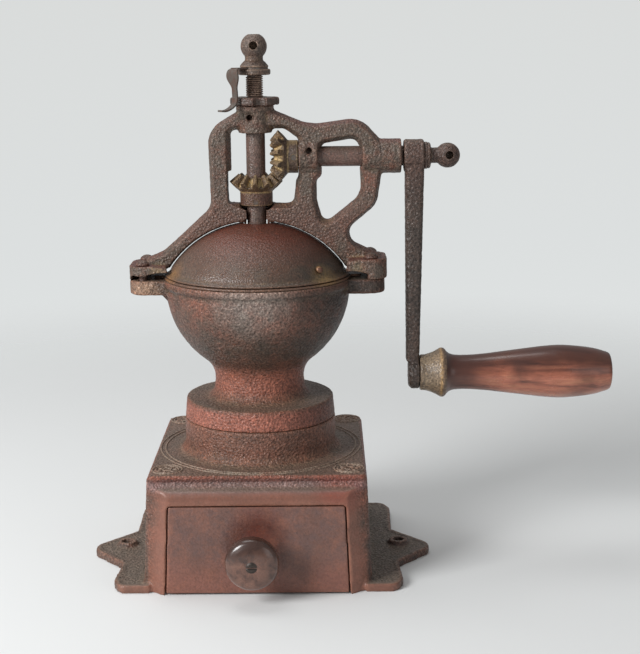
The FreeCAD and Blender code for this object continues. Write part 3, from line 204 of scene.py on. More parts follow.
def worn_casting(name, paint, deep, iron, edge, dust, iron_share=0.5, edge_share=0.3, dust_share=0.3,
                 top_share=0.3, top_tint="#75675a", grain=1.35, relief=1.0, shine=0.42, speckle_and_glints=1.0,
                 zones=(), smooth=None):
    """Old paint over sand cast iron: blotched, worn to grey iron, bright on rubbed edges, dusty in corners, with
    sand specks painted bright as glints.

    The grain is the size of the sand marks in millimetres. A zone is a measure, its low and high end, its soft
    border, a tint and a strength. The measure is an axis, the distance from the Z axis (R) or a point, from
    which the distance is taken. The smooth span of an axis keeps its paint whole, with little of the grain."""
    material, tree = new_material(name)
    place = add(tree, "ShaderNodeTexCoord").outputs["Object"]
    axes = add(tree, "ShaderNodeSeparateXYZ", {0: place})
    flat = add(tree, "ShaderNodeVectorMath", {0: place, 1: (1.0, 1.0, 0.0)}, operation="MULTIPLY")
    reach = add(tree, "ShaderNodeVectorMath", {0: flat}, operation="LENGTH").outputs["Value"]
    wear = add(tree, "ShaderNodeAttribute", attribute_name="wear")
    marks = add(tree, "ShaderNodeSeparateXYZ", {0: wear.outputs["Vector"]})
    blotch = add(tree, "ShaderNodeTexNoise", {"Vector": place, "Scale": 1 / BLOTCH, "Detail": 7.0,
                                              "Roughness": 0.66})
    mottle = add(tree, "ShaderNodeTexNoise", {"Vector": place, "Scale": 1 / MOTTLE, "Detail": 8.0,
                                              "Roughness": 0.78, "Distortion": 0.3})
    sand = add(tree, "ShaderNodeTexNoise", {"Vector": place, "Scale": 1 / (grain * MM), "Detail": 3.0,
                                            "Roughness": 0.6})
    pits = add(tree, "ShaderNodeTexVoronoi", {"Vector": place, "Scale": 1 / (grain * 1.1 * MM),
                                              "Randomness": 1.0})
    body = add(tree, "ShaderNodeValToRGB", {0: blotch}, stops=[(0.36, four(deep)), (0.6, four(paint))])
    bare = add(tree, "ShaderNodeMapRange", {"Value": mottle, "From Min": 0.6 - 0.3 * iron_share,
                                            "From Max": 0.84 - 0.3 * iron_share, "To Max": iron_share})
    coats = [(bare, four(iron), "MIX")]
    for measure, low, high, soft, tint, strength in zones:
        if isinstance(measure, tuple):
            line = add(tree, "ShaderNodeVectorMath", {0: place, 1: measure}, operation="DISTANCE")
            line = line.outputs["Value"]
        else:
            line = reach if measure == "R" else axes.outputs[measure]
        patch = add(tree, "ShaderNodeMapRange", {"Value": mottle, "From Min": 0.25, "From Max": 0.6,
                                                 "To Min": strength * 0.35, "To Max": strength})
        held = add(tree, "ShaderNodeMath", {0: band(tree, line, low, high, soft), 1: patch}, operation="MULTIPLY")
        coats.append((held, srgb(tint), "MIX"))
    top = add(tree, "ShaderNodeMapRange", {"Value": marks.outputs["Z"], "From Min": 0.7, "From Max": 1.0,
                                           "To Max": top_share})
    rub = add(tree, "ShaderNodeMath", {0: marks.outputs["X"], 1: mottle}, operation="MULTIPLY")
    rub = add(tree, "ShaderNodeMapRange", {"Value": rub, "From Min": 0.2, "From Max": 0.6, "To Max": edge_share})
    lodged = add(tree, "ShaderNodeMath", {0: marks.outputs["Y"], 1: mottle}, operation="MULTIPLY")
    lodged = add(tree, "ShaderNodeMapRange", {"Value": lodged, "From Min": 0.12, "From Max": 0.5,
                                              "To Max": dust_share})
    # Sand specks: the dark ones are the grain's own tone, and the bright ones, above the paint's colour, are painted
    # glints
    sand_tone_and_glints = add(tree, "ShaderNodeValToRGB", {0: sand}, stops=[
        (0.36, (0.38, 0.37, 0.36, 1)), (0.5, (0.95, 0.95, 0.95, 1)), (0.62, (1.3, 1.3, 1.3, 1)),
        (0.72, (2.4, 2.4, 2.35, 1))])
    tone_and_glint_share = 0.85 * speckle_and_glints
    if smooth:
        kept = band(tree, axes.outputs[smooth[0]], *smooth[1:])
        tone_and_glint_share = add(tree, "ShaderNodeMapRange", {"Value": kept, "To Min": tone_and_glint_share, "To Max": 0.2})
        relief = add(tree, "ShaderNodeMapRange", {"Value": kept, "To Min": relief, "To Max": relief * 0.2})
    coats += [(top, srgb(top_tint), "MIX"), (rub, four(edge), "MIX"), (lodged, four(dust), "MIX"),
              (tone_and_glint_share, sand_tone_and_glints, "MULTIPLY")]
    for share, tint, blend in coats:
        body = add(tree, "ShaderNodeMix", {0: share, 6: body, 7: tint}, data_type="RGBA",
                   blend_type=blend).outputs[2]
    rough = add(tree, "ShaderNodeMapRange", {"Value": sand, "From Min": 0.3, "From Max": 0.7,
                                             "To Min": shine + 0.2, "To Max": shine - 0.14})
    height = add(tree, "ShaderNodeMath", {0: pits, 1: 0.8, 2: sand}, operation="MULTIPLY_ADD")
    bump = add(tree, "ShaderNodeBump", {"Strength": relief, "Distance": 0.7 * MM, "Height": height})
    surface = add(tree, "ShaderNodeBsdfPrincipled", {"Base Color": body, "Roughness": rough, "Normal": bump,
                                                     "IOR": 1.5})
    add(tree, "ShaderNodeOutputMaterial", {0: surface})
    return material


def bare_metal(name, code, rust, rust_share, rough):
    """Oxidised plain metal: dull, with a brown bloom of rust or tarnish and a faint turned grain."""
    material, tree = new_material(name)
    place = add(tree, "ShaderNodeTexCoord").outputs["Object"]
    bloom = add(tree, "ShaderNodeTexNoise", {"Vector": place, "Scale": 1 / (4 * MM), "Detail": 6.0,
                                             "Roughness": 0.7})
    grain = add(tree, "ShaderNodeTexNoise", {"Vector": place, "Scale": 1 / (0.7 * MM), "Detail": 3.0})
    share = add(tree, "ShaderNodeMapRange", {"Value": bloom, "From Min": 0.62 - 0.35 * rust_share,
                                             "From Max": 0.72 - 0.15 * rust_share, "To Max": 0.9})
    tint = add(tree, "ShaderNodeMix", {0: share, 6: srgb(code), 7: srgb(rust)}, data_type="RGBA").outputs[2]
    metal = add(tree, "ShaderNodeMapRange", {"Value": share, "To Min": 0.9, "To Max": 0.1})
    gloss = add(tree, "ShaderNodeMapRange", {"Value": grain, "To Min": rough - 0.1, "To Max": rough + 0.2})
    bump = add(tree, "ShaderNodeBump", {"Strength": 0.5, "Distance": 0.15 * MM, "Height": grain})
    surface = add(tree, "ShaderNodeBsdfPrincipled", {"Base Color": tint, "Metallic": metal, "Roughness": gloss,
                                                     "Normal": bump})
    add(tree, "ShaderNodeOutputMaterial", {0: surface})
    return material


def polished_wood(name, light, dark, streak, along, rough, coat, middle, root=None):
    """Turned hardwood under old polish: soft streaks along an axis, fine pores, painted shade on the upper side and
    a darkening towards the root.

    The painted shade lies above the middle height, and the darkening fades out between the two ends of the root."""
    material, tree = new_material(name)
    place = add(tree, "ShaderNodeTexCoord").outputs["Object"]
    axes = add(tree, "ShaderNodeSeparateXYZ", {0: place})
    stretch = [1.0, 1.0, 1.0]
    stretch[along] = 0.09
    laid = add(tree, "ShaderNodeMapping", {"Vector": place, "Scale": stretch})
    bands = add(tree, "ShaderNodeTexNoise", {"Vector": laid, "Scale": 1 / (7 * MM), "Detail": 5.0,
                                             "Roughness": 0.6, "Distortion": 0.8})
    fibres = add(tree, "ShaderNodeTexNoise", {"Vector": laid, "Scale": 1 / (0.9 * MM), "Detail": 3.0,
                                              "Roughness": 0.6})
    stains = add(tree, "ShaderNodeTexNoise", {"Vector": place, "Scale": 1 / BLOTCH, "Detail": 4.0})
    tone = add(tree, "ShaderNodeValToRGB", {0: bands}, stops=[(0.3, srgb(dark)), (0.5, four(light)),
                                                             (0.72, srgb(streak))])
    fine = add(tree, "ShaderNodeValToRGB", {0: fibres}, stops=[(0.35, (0.7, 0.67, 0.65, 1)),
                                                              (0.6, (1.12, 1.1, 1.1, 1))])
    shade = add(tree, "ShaderNodeMapRange", {"Value": stains, "From Min": 0.46, "From Max": 0.7, "To Max": 0.5})
    # Painted shade: above the middle height, with the stains breaking its border, the wood is darkened as its upper
    # side lies in shade
    height = add(tree, "ShaderNodeMath", {0: stains, 1: 14 * MM, 2: axes.outputs["Z"]}, operation="MULTIPLY_ADD")
    painted_upper_shade = add(tree, "ShaderNodeMapRange", {"Value": height, "From Min": middle + 6 * MM,
                                             "From Max": middle + 17 * MM, "To Max": 0.9})
    coats = [(0.6, fine, "MULTIPLY"), (shade, srgb(dark), "MIX"), (painted_upper_shade, srgb(dark), "MIX")]
    if root:
        near = add(tree, "ShaderNodeMapRange", {"Value": axes.outputs[along], "From Min": root[0],
                                                "From Max": root[1], "To Min": 0.85, "To Max": 0.0})
        coats.append((near, srgb(dark), "MIX"))
    for share, tint, blend in coats:
        tone = add(tree, "ShaderNodeMix", {0: share, 6: tone, 7: tint}, data_type="RGBA",
                   blend_type=blend).outputs[2]
    gloss = add(tree, "ShaderNodeMapRange", {"Value": stains, "From Min": 0.3, "From Max": 0.7,
                                             "To Min": rough - 0.06, "To Max": rough + 0.14})
    bump = add(tree, "ShaderNodeBump", {"Strength": 0.25, "Distance": 0.1 * MM, "Height": fibres})
    surface = add(tree, "ShaderNodeBsdfPrincipled", {"Base Color": tone, "Roughness": gloss, "Normal": bump,
                                                     "Coat Weight": coat, "Coat Roughness": 0.18, "IOR": 1.5})
    add(tree, "ShaderNodeOutputMaterial", {0: surface})
    return material


def coordinates(mesh):
    """Where each vertex lies."""
    values = np.zeros(len(mesh.vertices) * 3, np.float32)
    mesh.vertices.foreach_get("co", values)
    return values.reshape(-1, 3).astype(float)


def move(mesh, place, box=None):
    """Puts each vertex at its new place, held inside the box where one is given."""
    if box:
        place = np.clip(place, *(np.array(corner) for corner in box))
    mesh.vertices.foreach_set("co", place.astype(np.float32).ravel())


def neighbours(mesh):
    """The two ends of each edge, and how many neighbours each vertex has."""
    ends = np.zeros(len(mesh.edges) * 2, np.int32)
    mesh.edges.foreach_get("vertices", ends)
    ends = ends.reshape(-1, 2)
    return ends, np.maximum(np.bincount(ends.ravel(), minlength=len(mesh.vertices)), 1)


def neighbour_mean(values, ends, counts):
    """The mean of each vertex's neighbours."""
    total = np.zeros_like(values)
    for one, other in ((0, 1), (1, 0)):
        for axis in range(values.shape[1]):
            total[:, axis] += np.bincount(ends[:, one], values[ends[:, other], axis], len(values))
    return total / counts[:, None]


def fair(values, ends, counts, rounds):
    """Takes the steps of the cells out of a surface: each round shrinks it and grows it back."""
    for step in (0.6, -0.62) * rounds:
        values = values + step * (neighbour_mean(values, ends, counts) - values)
    return values


def store_wear(mesh, cell):
    """Keeps for each vertex how sharp its edge is, how deep its corner is and how far it faces up."""
    ends, counts = neighbours(mesh)
    place = coordinates(mesh)
    facing = np.array([v.normal for v in mesh.vertices])
    near = place
    for _ in range(4):
        near = neighbour_mean(near, ends, counts)
    wide = near
    for _ in range(28):
        wide = neighbour_mean(wide, ends, counts)
    sharp = ((place - near) * facing).sum(1) / (0.3 * cell)
    deep = -((place - wide) * facing).sum(1) / (0.9 * cell)
    values = np.stack([np.clip(sharp, 0, 1), np.clip(deep, 0, 1), np.clip(facing[:, 2], 0, 1)], 1)
    values[:, :2] = neighbour_mean(values, ends, counts)[:, :2]
    layer = mesh.attributes.new("wear", "FLOAT_VECTOR", "POINT")
    layer.data.foreach_set("vector", values.astype(np.float32).ravel())


def new_tree(name, sockets):
    """A Geometry Nodes tree with named inputs and one geometry output, and the node that gives the inputs."""
    tree = bpy.data.node_groups.new(name, "GeometryNodeTree")
    for title, kind, default in sockets:
        socket = tree.interface.new_socket(name=title, in_out="INPUT", socket_type="NodeSocket" + kind)
        if default is not None:
            socket.default_value = default
    tree.interface.new_socket(name="Geometry", in_out="OUTPUT", socket_type="NodeSocketGeometry")
    return tree, add(tree, "NodeGroupInput")


def grain_tree():
    """Geometry nodes that press a sand grain into a skin, mostly inwards."""
    tree, source = new_tree("sand_grain", (("Geometry", "Geometry", None), ("Size", "Float", 3.2 * MM),
                                           ("Depth", "Float", 0.16 * MM), ("Seed", "Float", 4.0),
                                           ("Material", "Material", None)))
    scale = add(tree, "ShaderNodeMath", {0: 1.0, 1: source.outputs["Size"]}, operation="DIVIDE")
    noise = add(tree, "ShaderNodeTexNoise", {"Scale": scale, "Detail": 2.0, "Roughness": 0.5,
                                             "W": source.outputs["Seed"]}, noise_dimensions="4D")
    # The noise swings by about a third of one, mostly below 0.68, so the depth is taken three times
    swing = add(tree, "ShaderNodeMath", {0: noise, 1: 0.68}, operation="SUBTRACT")
    depth = add(tree, "ShaderNodeMath", {0: swing, 1: source.outputs["Depth"]}, operation="MULTIPLY")
    deeper = add(tree, "ShaderNodeMath", {0: depth, 1: 3.0}, operation="MULTIPLY").outputs[0]
    normal = add(tree, "GeometryNodeInputNormal")
    push = add(tree, "ShaderNodeVectorMath", {0: normal, "Scale": deeper}, operation="SCALE")
    moved = add(tree, "GeometryNodeSetPosition", {"Geometry": source.outputs["Geometry"], "Offset": push})
    real = add(tree, "GeometryNodeRealizeInstances", {0: moved})
    done = add(tree, "GeometryNodeSetMaterial", {"Geometry": real, "Material": source.outputs["Material"]})
    add(tree, "NodeGroupOutput", {0: done})
    return tree


def set_inputs(modifier, values):
    """Sets a tree's inputs by the identifiers of their sockets."""
    for item in modifier.node_group.interface.items_tree:
        if item.in_out == "INPUT" and item.name in values:
            modifier[item.identifier] = values[item.name]


def baked(obj):
    """Turns what an object's modifiers give into its own plain mesh."""
    graph = bpy.context.evaluated_depsgraph_get()
    mesh = bpy.data.meshes.new_from_object(obj.evaluated_get(graph), depsgraph=graph)
    if not mesh.vertices:
        raise RuntimeError("no mesh came out of " + obj.name)
    obj.modifiers.clear()
    obj.data = mesh
    return mesh


def empty_piece(name):
    """A new object with an empty mesh."""
    obj = bpy.data.objects.new(name, bpy.data.meshes.new(name))
    bpy.context.scene.collection.objects.link(obj)
    return obj


def finish_piece(obj, material, node):
    """Gives a finished piece its material, and the body of its CAD node."""
    obj.data.materials.clear()
    obj.data.materials.append(material)
    obj.data.polygons.foreach_set("use_smooth", [True] * len(obj.data.polygons))
    obj.data.update()
    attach(obj, BODY_OF[node])


def block(low, high):
    """The eight corners of an upright block: four below, four above, both anticlockwise."""
    return [(x, y, z) for z in (low[2], high[2])
            for x, y in ((low[0], low[1]), (high[0], low[1]), (high[0], high[1]), (low[0], high[1]))]


def add_block(work, corners):
    """Adds a closed block on eight corners, in the order that block gives."""
    verts = [work.verts.new(corner) for corner in corners]
    for face in ((3, 2, 1, 0), (4, 5, 6, 7), (0, 1, 5, 4), (1, 2, 6, 5), (2, 3, 7, 6), (3, 0, 4, 7)):
        work.faces.new([verts[i] for i in face])


def skin(name, node, material, cell, grain=0.0, depth=0.0, seed=1.0, rounds=3, shape=None, extra=()):
    """An even skin over a CAD node and any extra blocks, with softened edges, a pressed grain and its wear."""
    obj = empty_piece(name)
    work = bmesh.new()
    work.from_mesh(frame["nodes"][node].data)
    bmesh.ops.remove_doubles(work, verts=work.verts, dist=0.002 * MM)
    for corners in extra:
        add_block(work, corners)
    work.to_mesh(obj.data)
    work.free()
    cells = obj.modifiers.new("cells", "REMESH")
    cells.mode = "VOXEL"
    cells.voxel_size = cell
    mesh = baked(obj)
    place = fair(coordinates(mesh), *neighbours(mesh), rounds)
    if shape:
        place = shape(place)
    move(mesh, place)
    mesh.update()
    store_wear(mesh, cell)
    if depth:
        modifier = obj.modifiers.new("grain", "NODES")
        modifier.node_group = bpy.data.node_groups.get("sand_grain") or grain_tree()
        set_inputs(modifier, {"Size": grain, "Depth": depth, "Seed": seed, "Material": material})
        mesh = baked(obj)
    move(mesh, coordinates(mesh), CAD_BOX)
    finish_piece(obj, material, node)
    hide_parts(node)


def carried(node, material):
    """Gives its finish to a CAD node that isn't replaced."""
    obj = frame["nodes"][node]
    obj.data.materials.clear()
    obj.data.materials.append(material)


def turned_tree(name, points, widest, material):
    """Geometry nodes that turn a profile about the line from Start to End.

    The points are shares of the line's length and of the widest radius."""
    tree, source = new_tree(name, (("Start", "Vector", (0, 0, 0)), ("End", "Vector", (0, 0, 1)),
                                   ("Widest", "Float", widest), ("Rings", "Int", 140), ("Sides", "Int", 96)))
    axis = add(tree, "GeometryNodeCurvePrimitiveLine", {"Start": source.outputs["Start"],
                                                        "End": source.outputs["End"]})
    stations = add(tree, "GeometryNodeResampleCurve", {"Curve": axis, "Count": source.outputs["Rings"]})
    along = add(tree, "GeometryNodeSplineParameter")
    profile = add(tree, "ShaderNodeFloatCurve", {"Value": along.outputs["Factor"]})
    line = profile.mapping.curves[0]
    while len(line.points) > 2:
        line.points.remove(line.points[1])
    line.points[0].location = points[0]
    line.points[1].location = points[-1]
    for point in points[1:-1]:
        line.points.new(*point)
    profile.mapping.update()
    radius = add(tree, "ShaderNodeMath", {0: profile, 1: source.outputs["Widest"]}, operation="MULTIPLY")
    shaped = add(tree, "GeometryNodeSetCurveRadius", {"Curve": stations, "Radius": radius})
    circle = add(tree, "GeometryNodeCurvePrimitiveCircle", {"Resolution": source.outputs["Sides"], "Radius": 1.0})
    solid = add(tree, "GeometryNodeCurveToMesh", {"Curve": shaped, "Profile Curve": circle,
                                                  "Scale": radius, "Fill Caps": True})
    real = add(tree, "GeometryNodeRealizeInstances", {0: solid})
    done = add(tree, "GeometryNodeSetMaterial", {"Geometry": real, "Material": material})
    add(tree, "NodeGroupOutput", {0: done})
    return tree


def turned(name, node, material, start, end, profile, rings=140, sides=96):
    """A turned piece. The profile is a list of distance along the axis and radius, both in millimetres."""
    obj = empty_piece(name)
    reach = profile[-1][0] - profile[0][0]
    widest = max(r for _, r in profile)
    points = [((d - profile[0][0]) / reach, r / widest) for d, r in profile]
    modifier = obj.modifiers.new("turned", "NODES")
    modifier.node_group = turned_tree(name + "_tree", points, widest * MM, material)
    set_inputs(modifier, {"Start": start, "End": end, "Widest": widest * MM, "Rings": rings, "Sides": sides})
    mesh = baked(obj)
    work = bmesh.new()
    work.from_mesh(mesh)
    bmesh.ops.remove_doubles(work, verts=work.verts, dist=0.001 * MM)
    bmesh.ops.recalc_face_normals(work, faces=work.faces)
    work.to_mesh(mesh)
    work.free()
    move(mesh, coordinates(mesh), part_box(node))
    finish_piece(obj, material, node)
    mesh.polygons.foreach_set("use_smooth", [len(face.vertices) == 4 for face in mesh.polygons])
    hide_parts(node)


def casting_materials(colours):
    """The painted castings, from one recipe with each casting's own wear."""
    base = dict(paint=colours.paint, deep=colours.deep_paint, iron=colours.bare_iron, edge=colours.worn_edge,
                dust=colours.dust)
    if "painted_box_iron" not in bpy.data.materials:
        # Sand cast iron box, brush painted: smooth red-brown front, grey sides, plate and flanges, with painted
        # shade over the right side
        worn_casting("painted_box_iron", **base, iron_share=0.4, edge_share=0.4, dust_share=0.06, top_share=0.7,
                     top_tint="#6f6256", smooth=("Y", -OUT, -0.0675, 0.003), zones=[
                         # Painted shade on the right side, grey grime on the left one and whole paint on the front
                         ("X", 0.0662, OUT, 0.001, "#2f2b28", 0.95),
                         ("X", -OUT, -0.0662, 0.001, "#54473d", 0.9),
                         ("Y", -OUT, -0.0695, 0.003, "#865a4b", 0.8),
                         # The moulding: a pale purple-grey hollow that is a painted highlight, a dark red groove
                         # that is painted shade under the lip, a red rim and a darker foot
                         ("Z", 0.0625, 0.0685, 0.0012, "#7d6564", 0.8),
                         ("Z", 0.0676, 0.0692, 0.0004, "#54281f", 0.8),
                         ("Z", 0.0695, 0.0712, 0.0005, "#7d3f33", 0.8),
                         ("Z", 0.0585, 0.0622, 0.001, "#6b4437", 0.5),
                         # The boss, a red patch on the moulding and a dark patch beside the boss
                         ("Z", 0.0745, 0.0925, 0.004, "#785344", 0.6),
                         ((0.05, -0.07, 0.066), -OUT, 0.012, 0.008, "#7d3a2e", 0.7),
                         ((0.045, 0.02, 0.078), -OUT, 0.012, 0.012, "#3a342f", 0.8)])
        # The same iron where raised ornament is rubbed pale and its ground stays dark
        worn_casting("rubbed_ornament_iron", **{**base, "edge": srgb("#a59280")}, iron_share=0.8, edge_share=0.6,
                     dust_share=0.1, speckle_and_glints=0.8)
        # Sand cast iron bowl: red rubbed flange and neck, a darker lower belly, painted shade to the right
        worn_casting("painted_bowl_iron", **base, iron_share=0.65, dust_share=0.1, top_share=0.6, zones=[
            # The red flange and neck, the darker lower belly, painted shade to the right and a brown edge below the
            # rim
            ("Z", 0.09, 0.1035, 0.0015, "#a3604e", 0.8),
            ("Z", 0.109, 0.127, 0.004, "#9a5b48", 0.8),
            ("Z", 0.131, 0.152, 0.009, "#42382f", 0.9),
            ("X", 0.033, 0.09, 0.018, "#25201d", 0.97),
            ("Z", 0.1745, 0.179, 0.0015, "#43372f", 0.8),
            # A pale patch on the front of the rim and rust at the left lug
            ((0.0, -0.06, 0.179), -OUT, 0.02, 0.012, "#948a82", 0.7),
            ((-0.07, -0.016, 0.175), -OUT, 0.008, 0.006, "#a5846c", 0.9)])
        # Sand cast iron bridge: mostly bare grey-brown grain with a red blush low down and on top, dusty sills
        sills = [((-0.012, 0.0, 0.2268), 0.004), ((0.016, 0.0, 0.2268), 0.005), ((0.0425, 0.0, 0.2136), 0.005),
                 ((0.062, -0.014, 0.1875), 0.004), ((-0.06, -0.014, 0.187), 0.005)]
        worn_casting("painted_bridge_iron", **base, iron_share=0.97, edge_share=0.2, dust_share=0.2,
                     top_share=0.8, top_tint="#5f3730",
                     zones=[("Z", 0.205, 0.226, 0.008, "#684a40", 0.7), ("Z", 0.2655, 0.2725, 0.003, "#5f544a", 0.5)]
                     + [(spot, -OUT, size, 0.003, "#94805c", 0.65) for spot, size in sills])
        # Pressed sheet lid: smoother greasy paint, painted shade to the right, a greyer painted highlight to the
        # left, red at the crown, dusty low at both sides
        worn_casting("painted_lid_sheet", **{**base, "paint": srgb("#604336")}, iron_share=0.75, dust_share=0.35,
                     top_share=0.0, grain=1.1, relief=0.45, shine=0.32, speckle_and_glints=0.8, zones=[
                         # Painted shade on the right, red at the crown and a greyer painted highlight on the left
                         ("X", 0.018, 0.09, 0.018, "#332d26", 0.9),
                         ("Z", 0.2, 0.23, 0.008, "#643327", 0.85),
                         ("X", -0.09, -0.034, 0.012, "#5c4c42", 0.7),
                         ("Z", 0.17, 0.1848, 0.0006, "#54463a", 0.8),
                         ((-0.054, -0.022, 0.185), -OUT, 0.007, 0.006, "#916c45", 0.9),
                         ((0.045, -0.037, 0.183), -OUT, 0.009, 0.006, "#93794f", 0.8)])
    return {material.name: material for material in bpy.data.materials}


def closer_arch(place):
    """Draws the bridge's arch in to the lid, hollowed like its dome, and thickens the boss at the crank gear."""
    rise = place[:, 2] - DOME_Z
    reach = np.hypot(place[:, 0], rise)
    pull = np.clip(1 - (reach - ARCH_RADIUS) / ARCH_LAYER, 0, 1)
    pull *= np.clip((rise - ARCH_SPRING) / (2 * MM), 0, 1)
    hollow = place[:, 1] ** 2 / (2 * ARCH_RADIUS)
    hollow *= np.clip((np.abs(place[:, 0]) - ARCH_HOLLOW_FROM) / (3 * MM), 0, 1)
    shrink = 1 - pull * (ARCH_PULL + hollow) / reach
    place[:, 0] *= shrink
    place[:, 2] = DOME_Z + rise * shrink
    off = np.hypot(place[:, 1], place[:, 2] - SHAFT_Z)
    boss = (place[:, 0] > BOSS_ENDS[0]) & (place[:, 0] < BOSS_ENDS[1])
    boss &= (off > BOSS_LAYER[0]) & (off < BOSS_LAYER[1])
    place[boss, 1] *= BOSS_GROWTH
    place[boss, 2] = SHAFT_Z + (place[boss, 2] - SHAFT_Z) * BOSS_GROWTH
    return place


def saddle_cheeks():
    """Blocks that close the bridge's bar round the spindle: two tapered cheeks, their lips and a wall behind."""
    front, back, lip_half = -6 * MM, 8 * MM, 2.4 * MM
    for side in (-1, 1):
        # The cheek's inner face leans from the spindle outwards, and its outer face is upright
        foot, lip, head, far = (side * x * MM for x in (6.5, 7.9, 9.6, 11.0))
        below, above = sorted((foot, far)), sorted((head, far))
        yield (block((below[0], front, CHEEK_LOW), (below[1], back, CHEEK_LOW))[:4]
               + block((above[0], front, CHEEK_HIGH), (above[1], back, CHEEK_HIGH))[4:])
        inner, outer = sorted((foot, lip))
        yield block((inner, -lip_half, LIP_LOW), (outer, lip_half, CHEEK_HIGH))
    yield block((-9 * MM, 6.6 * MM, CHEEK_LOW), (9 * MM, 10 * MM, CHEEK_HIGH))


def rusted_steel():
    """Old plain steel of pins, screws and springs: brown-grey with rust bloom."""
    return bpy.data.materials.get("rusted_steel") or bare_metal("rusted_steel", "#75706a", "#54382c", 0.75, 0.42)


class MILL_OT_castings(bpy.types.Operator):
    """Lays worn skins over the box, hopper and bridge castings"""
    bl_idname = "coffee_mill.castings"
    bl_label = "Castings"

    def execute(self, context):
        sizes = context.scene.mill_sizes
        found = casting_materials(context.scene.mill_colours)
        skin("box_skin", "base_casting", found["painted_box_iron"], sizes.casting_cell, sizes.sand_grain,
             sizes.sand_depth * 0.8, 2.0, rounds=1)
        skin("hopper_skin", "hopper", found["painted_bowl_iron"], sizes.bowl_cell * 1.15, sizes.sand_grain,
             sizes.sand_depth, 3.0)
        skin("bridge_skin", "bridge", found["painted_bridge_iron"], sizes.bowl_cell * 0.9, sizes.sand_grain * 0.85,
             sizes.sand_depth * 1.2, 5.0, shape=closer_arch, extra=saddle_cheeks())
        return {"FINISHED"}


class MILL_OT_covers(bpy.types.Operator):
    """Lays worn skins over the two lid halves and their knob"""
    bl_idname = "coffee_mill.covers"
    bl_label = "Lid"

    def execute(self, context):
        sizes = context.scene.mill_sizes
        found = casting_materials(context.scene.mill_colours)
        for node, seed in (("front_cover", 7.0), ("rear_cover", 8.0)):
            skin(node + "_skin", node, found["painted_lid_sheet"], sizes.bowl_cell * 0.85, sizes.sand_grain * 2,
                 sizes.sand_depth * 0.35, seed, rounds=2)
        # Brass lid knob rubbed by fingers: warm metal under brown tarnish
        brass = bare_metal("tarnished_brass_knob", "#8a6a4c", "#5b3a30", 0.7, 0.4)
        skin("lid_knob_skin", "cover_knob", brass, 0.3 * MM, rounds=2)
        return {"FINISHED"}


def ornament_tree(material):
    """Geometry nodes for the plate's two raised rings and its four corner rosettes."""
    tree, source = new_tree("plate_ornament", (
        ("Ring Radius", "Float", 63.6 * MM), ("Ring Gap", "Float", 3 * MM), ("Bead", "Float", 0.6 * MM),
        ("Rosette Radius", "Float", 9 * MM), ("Across", "Float", 110 * MM), ("Along", "Float", 111 * MM),
        ("Petals", "Int", 7), ("Height", "Float", PLATE_TOP)))
    bead = add(tree, "GeometryNodeCurvePrimitiveCircle", {"Resolution": 10, "Radius": source.outputs["Bead"]})
    inner = add(tree, "ShaderNodeMath", {0: source.outputs["Ring Radius"], 1: source.outputs["Ring Gap"]},
                operation="SUBTRACT")
    joined = add(tree, "GeometryNodeJoinGeometry")
    for radius in (source.outputs["Ring Radius"], inner):
        ring = add(tree, "GeometryNodeCurvePrimitiveCircle", {"Resolution": 220, "Radius": radius})
        tube = add(tree, "GeometryNodeCurveToMesh", {"Curve": ring, "Profile Curve": bead})
        tree.links.new(tube.outputs[0], joined.inputs[0])
    # A rosette is an outer double ring, petals on a circle and a ring as its eye
    rosette = add(tree, "GeometryNodeJoinGeometry")
    for share, count in ((1.0, 56), (0.78, 48), (0.28, 24)):
        part = add(tree, "ShaderNodeMath", {0: source.outputs["Rosette Radius"], 1: share}, operation="MULTIPLY")
        ring = add(tree, "GeometryNodeCurvePrimitiveCircle", {"Resolution": count, "Radius": part})
        tube = add(tree, "GeometryNodeCurveToMesh", {"Curve": ring, "Profile Curve": bead})
        tree.links.new(tube.outputs[0], rosette.inputs[0])
    reach = add(tree, "ShaderNodeMath", {0: source.outputs["Rosette Radius"], 1: 0.53}, operation="MULTIPLY")
    seats = add(tree, "GeometryNodeCurvePrimitiveCircle", {"Resolution": source.outputs["Petals"],
                                                           "Radius": reach})
    petal = add(tree, "GeometryNodeMeshIcoSphere", {"Radius": 1.0, "Subdivisions": 3})
    turn = add(tree, "FunctionNodeAlignRotationToVector", {"Vector": add(tree, "GeometryNodeInputTangent")},
               axis="Y")
    half_sizes = add(tree, "ShaderNodeCombineXYZ", {0: 1.5 * MM, 1: 0.75 * MM, 2: 0.7 * MM})
    petals = add(tree, "GeometryNodeInstanceOnPoints", {"Points": seats, "Instance": petal,
                                                        "Rotation": turn, "Scale": half_sizes})
    tree.links.new(petals.outputs[0], rosette.inputs[0])
    corners = add(tree, "GeometryNodeMeshGrid", {"Size X": source.outputs["Across"],
                                                 "Size Y": source.outputs["Along"],
                                                 "Vertices X": 2, "Vertices Y": 2})
    shifted = add(tree, "GeometryNodeTransform", {"Geometry": corners,
                                                  "Translation": (0.5 * MM, 3.5 * MM, 0.0)})
    placed = add(tree, "GeometryNodeInstanceOnPoints", {"Points": shifted, "Instance": rosette})
    tree.links.new(placed.outputs[0], joined.inputs[0])
    lift = add(tree, "ShaderNodeCombineXYZ", {2: source.outputs["Height"]})
    raised = add(tree, "GeometryNodeTransform", {"Geometry": joined, "Translation": lift})
    real = add(tree, "GeometryNodeRealizeInstances", {0: raised})
    marked = add(tree, "GeometryNodeStoreNamedAttribute", {"Geometry": real, "Name": "wear",
                                                           "Value": (1.0, 0.0, 0.4)},
                 data_type="FLOAT_VECTOR", domain="POINT")
    done = add(tree, "GeometryNodeSetMaterial", {"Geometry": marked, "Material": material})
    add(tree, "NodeGroupOutput", {0: done})
    return tree


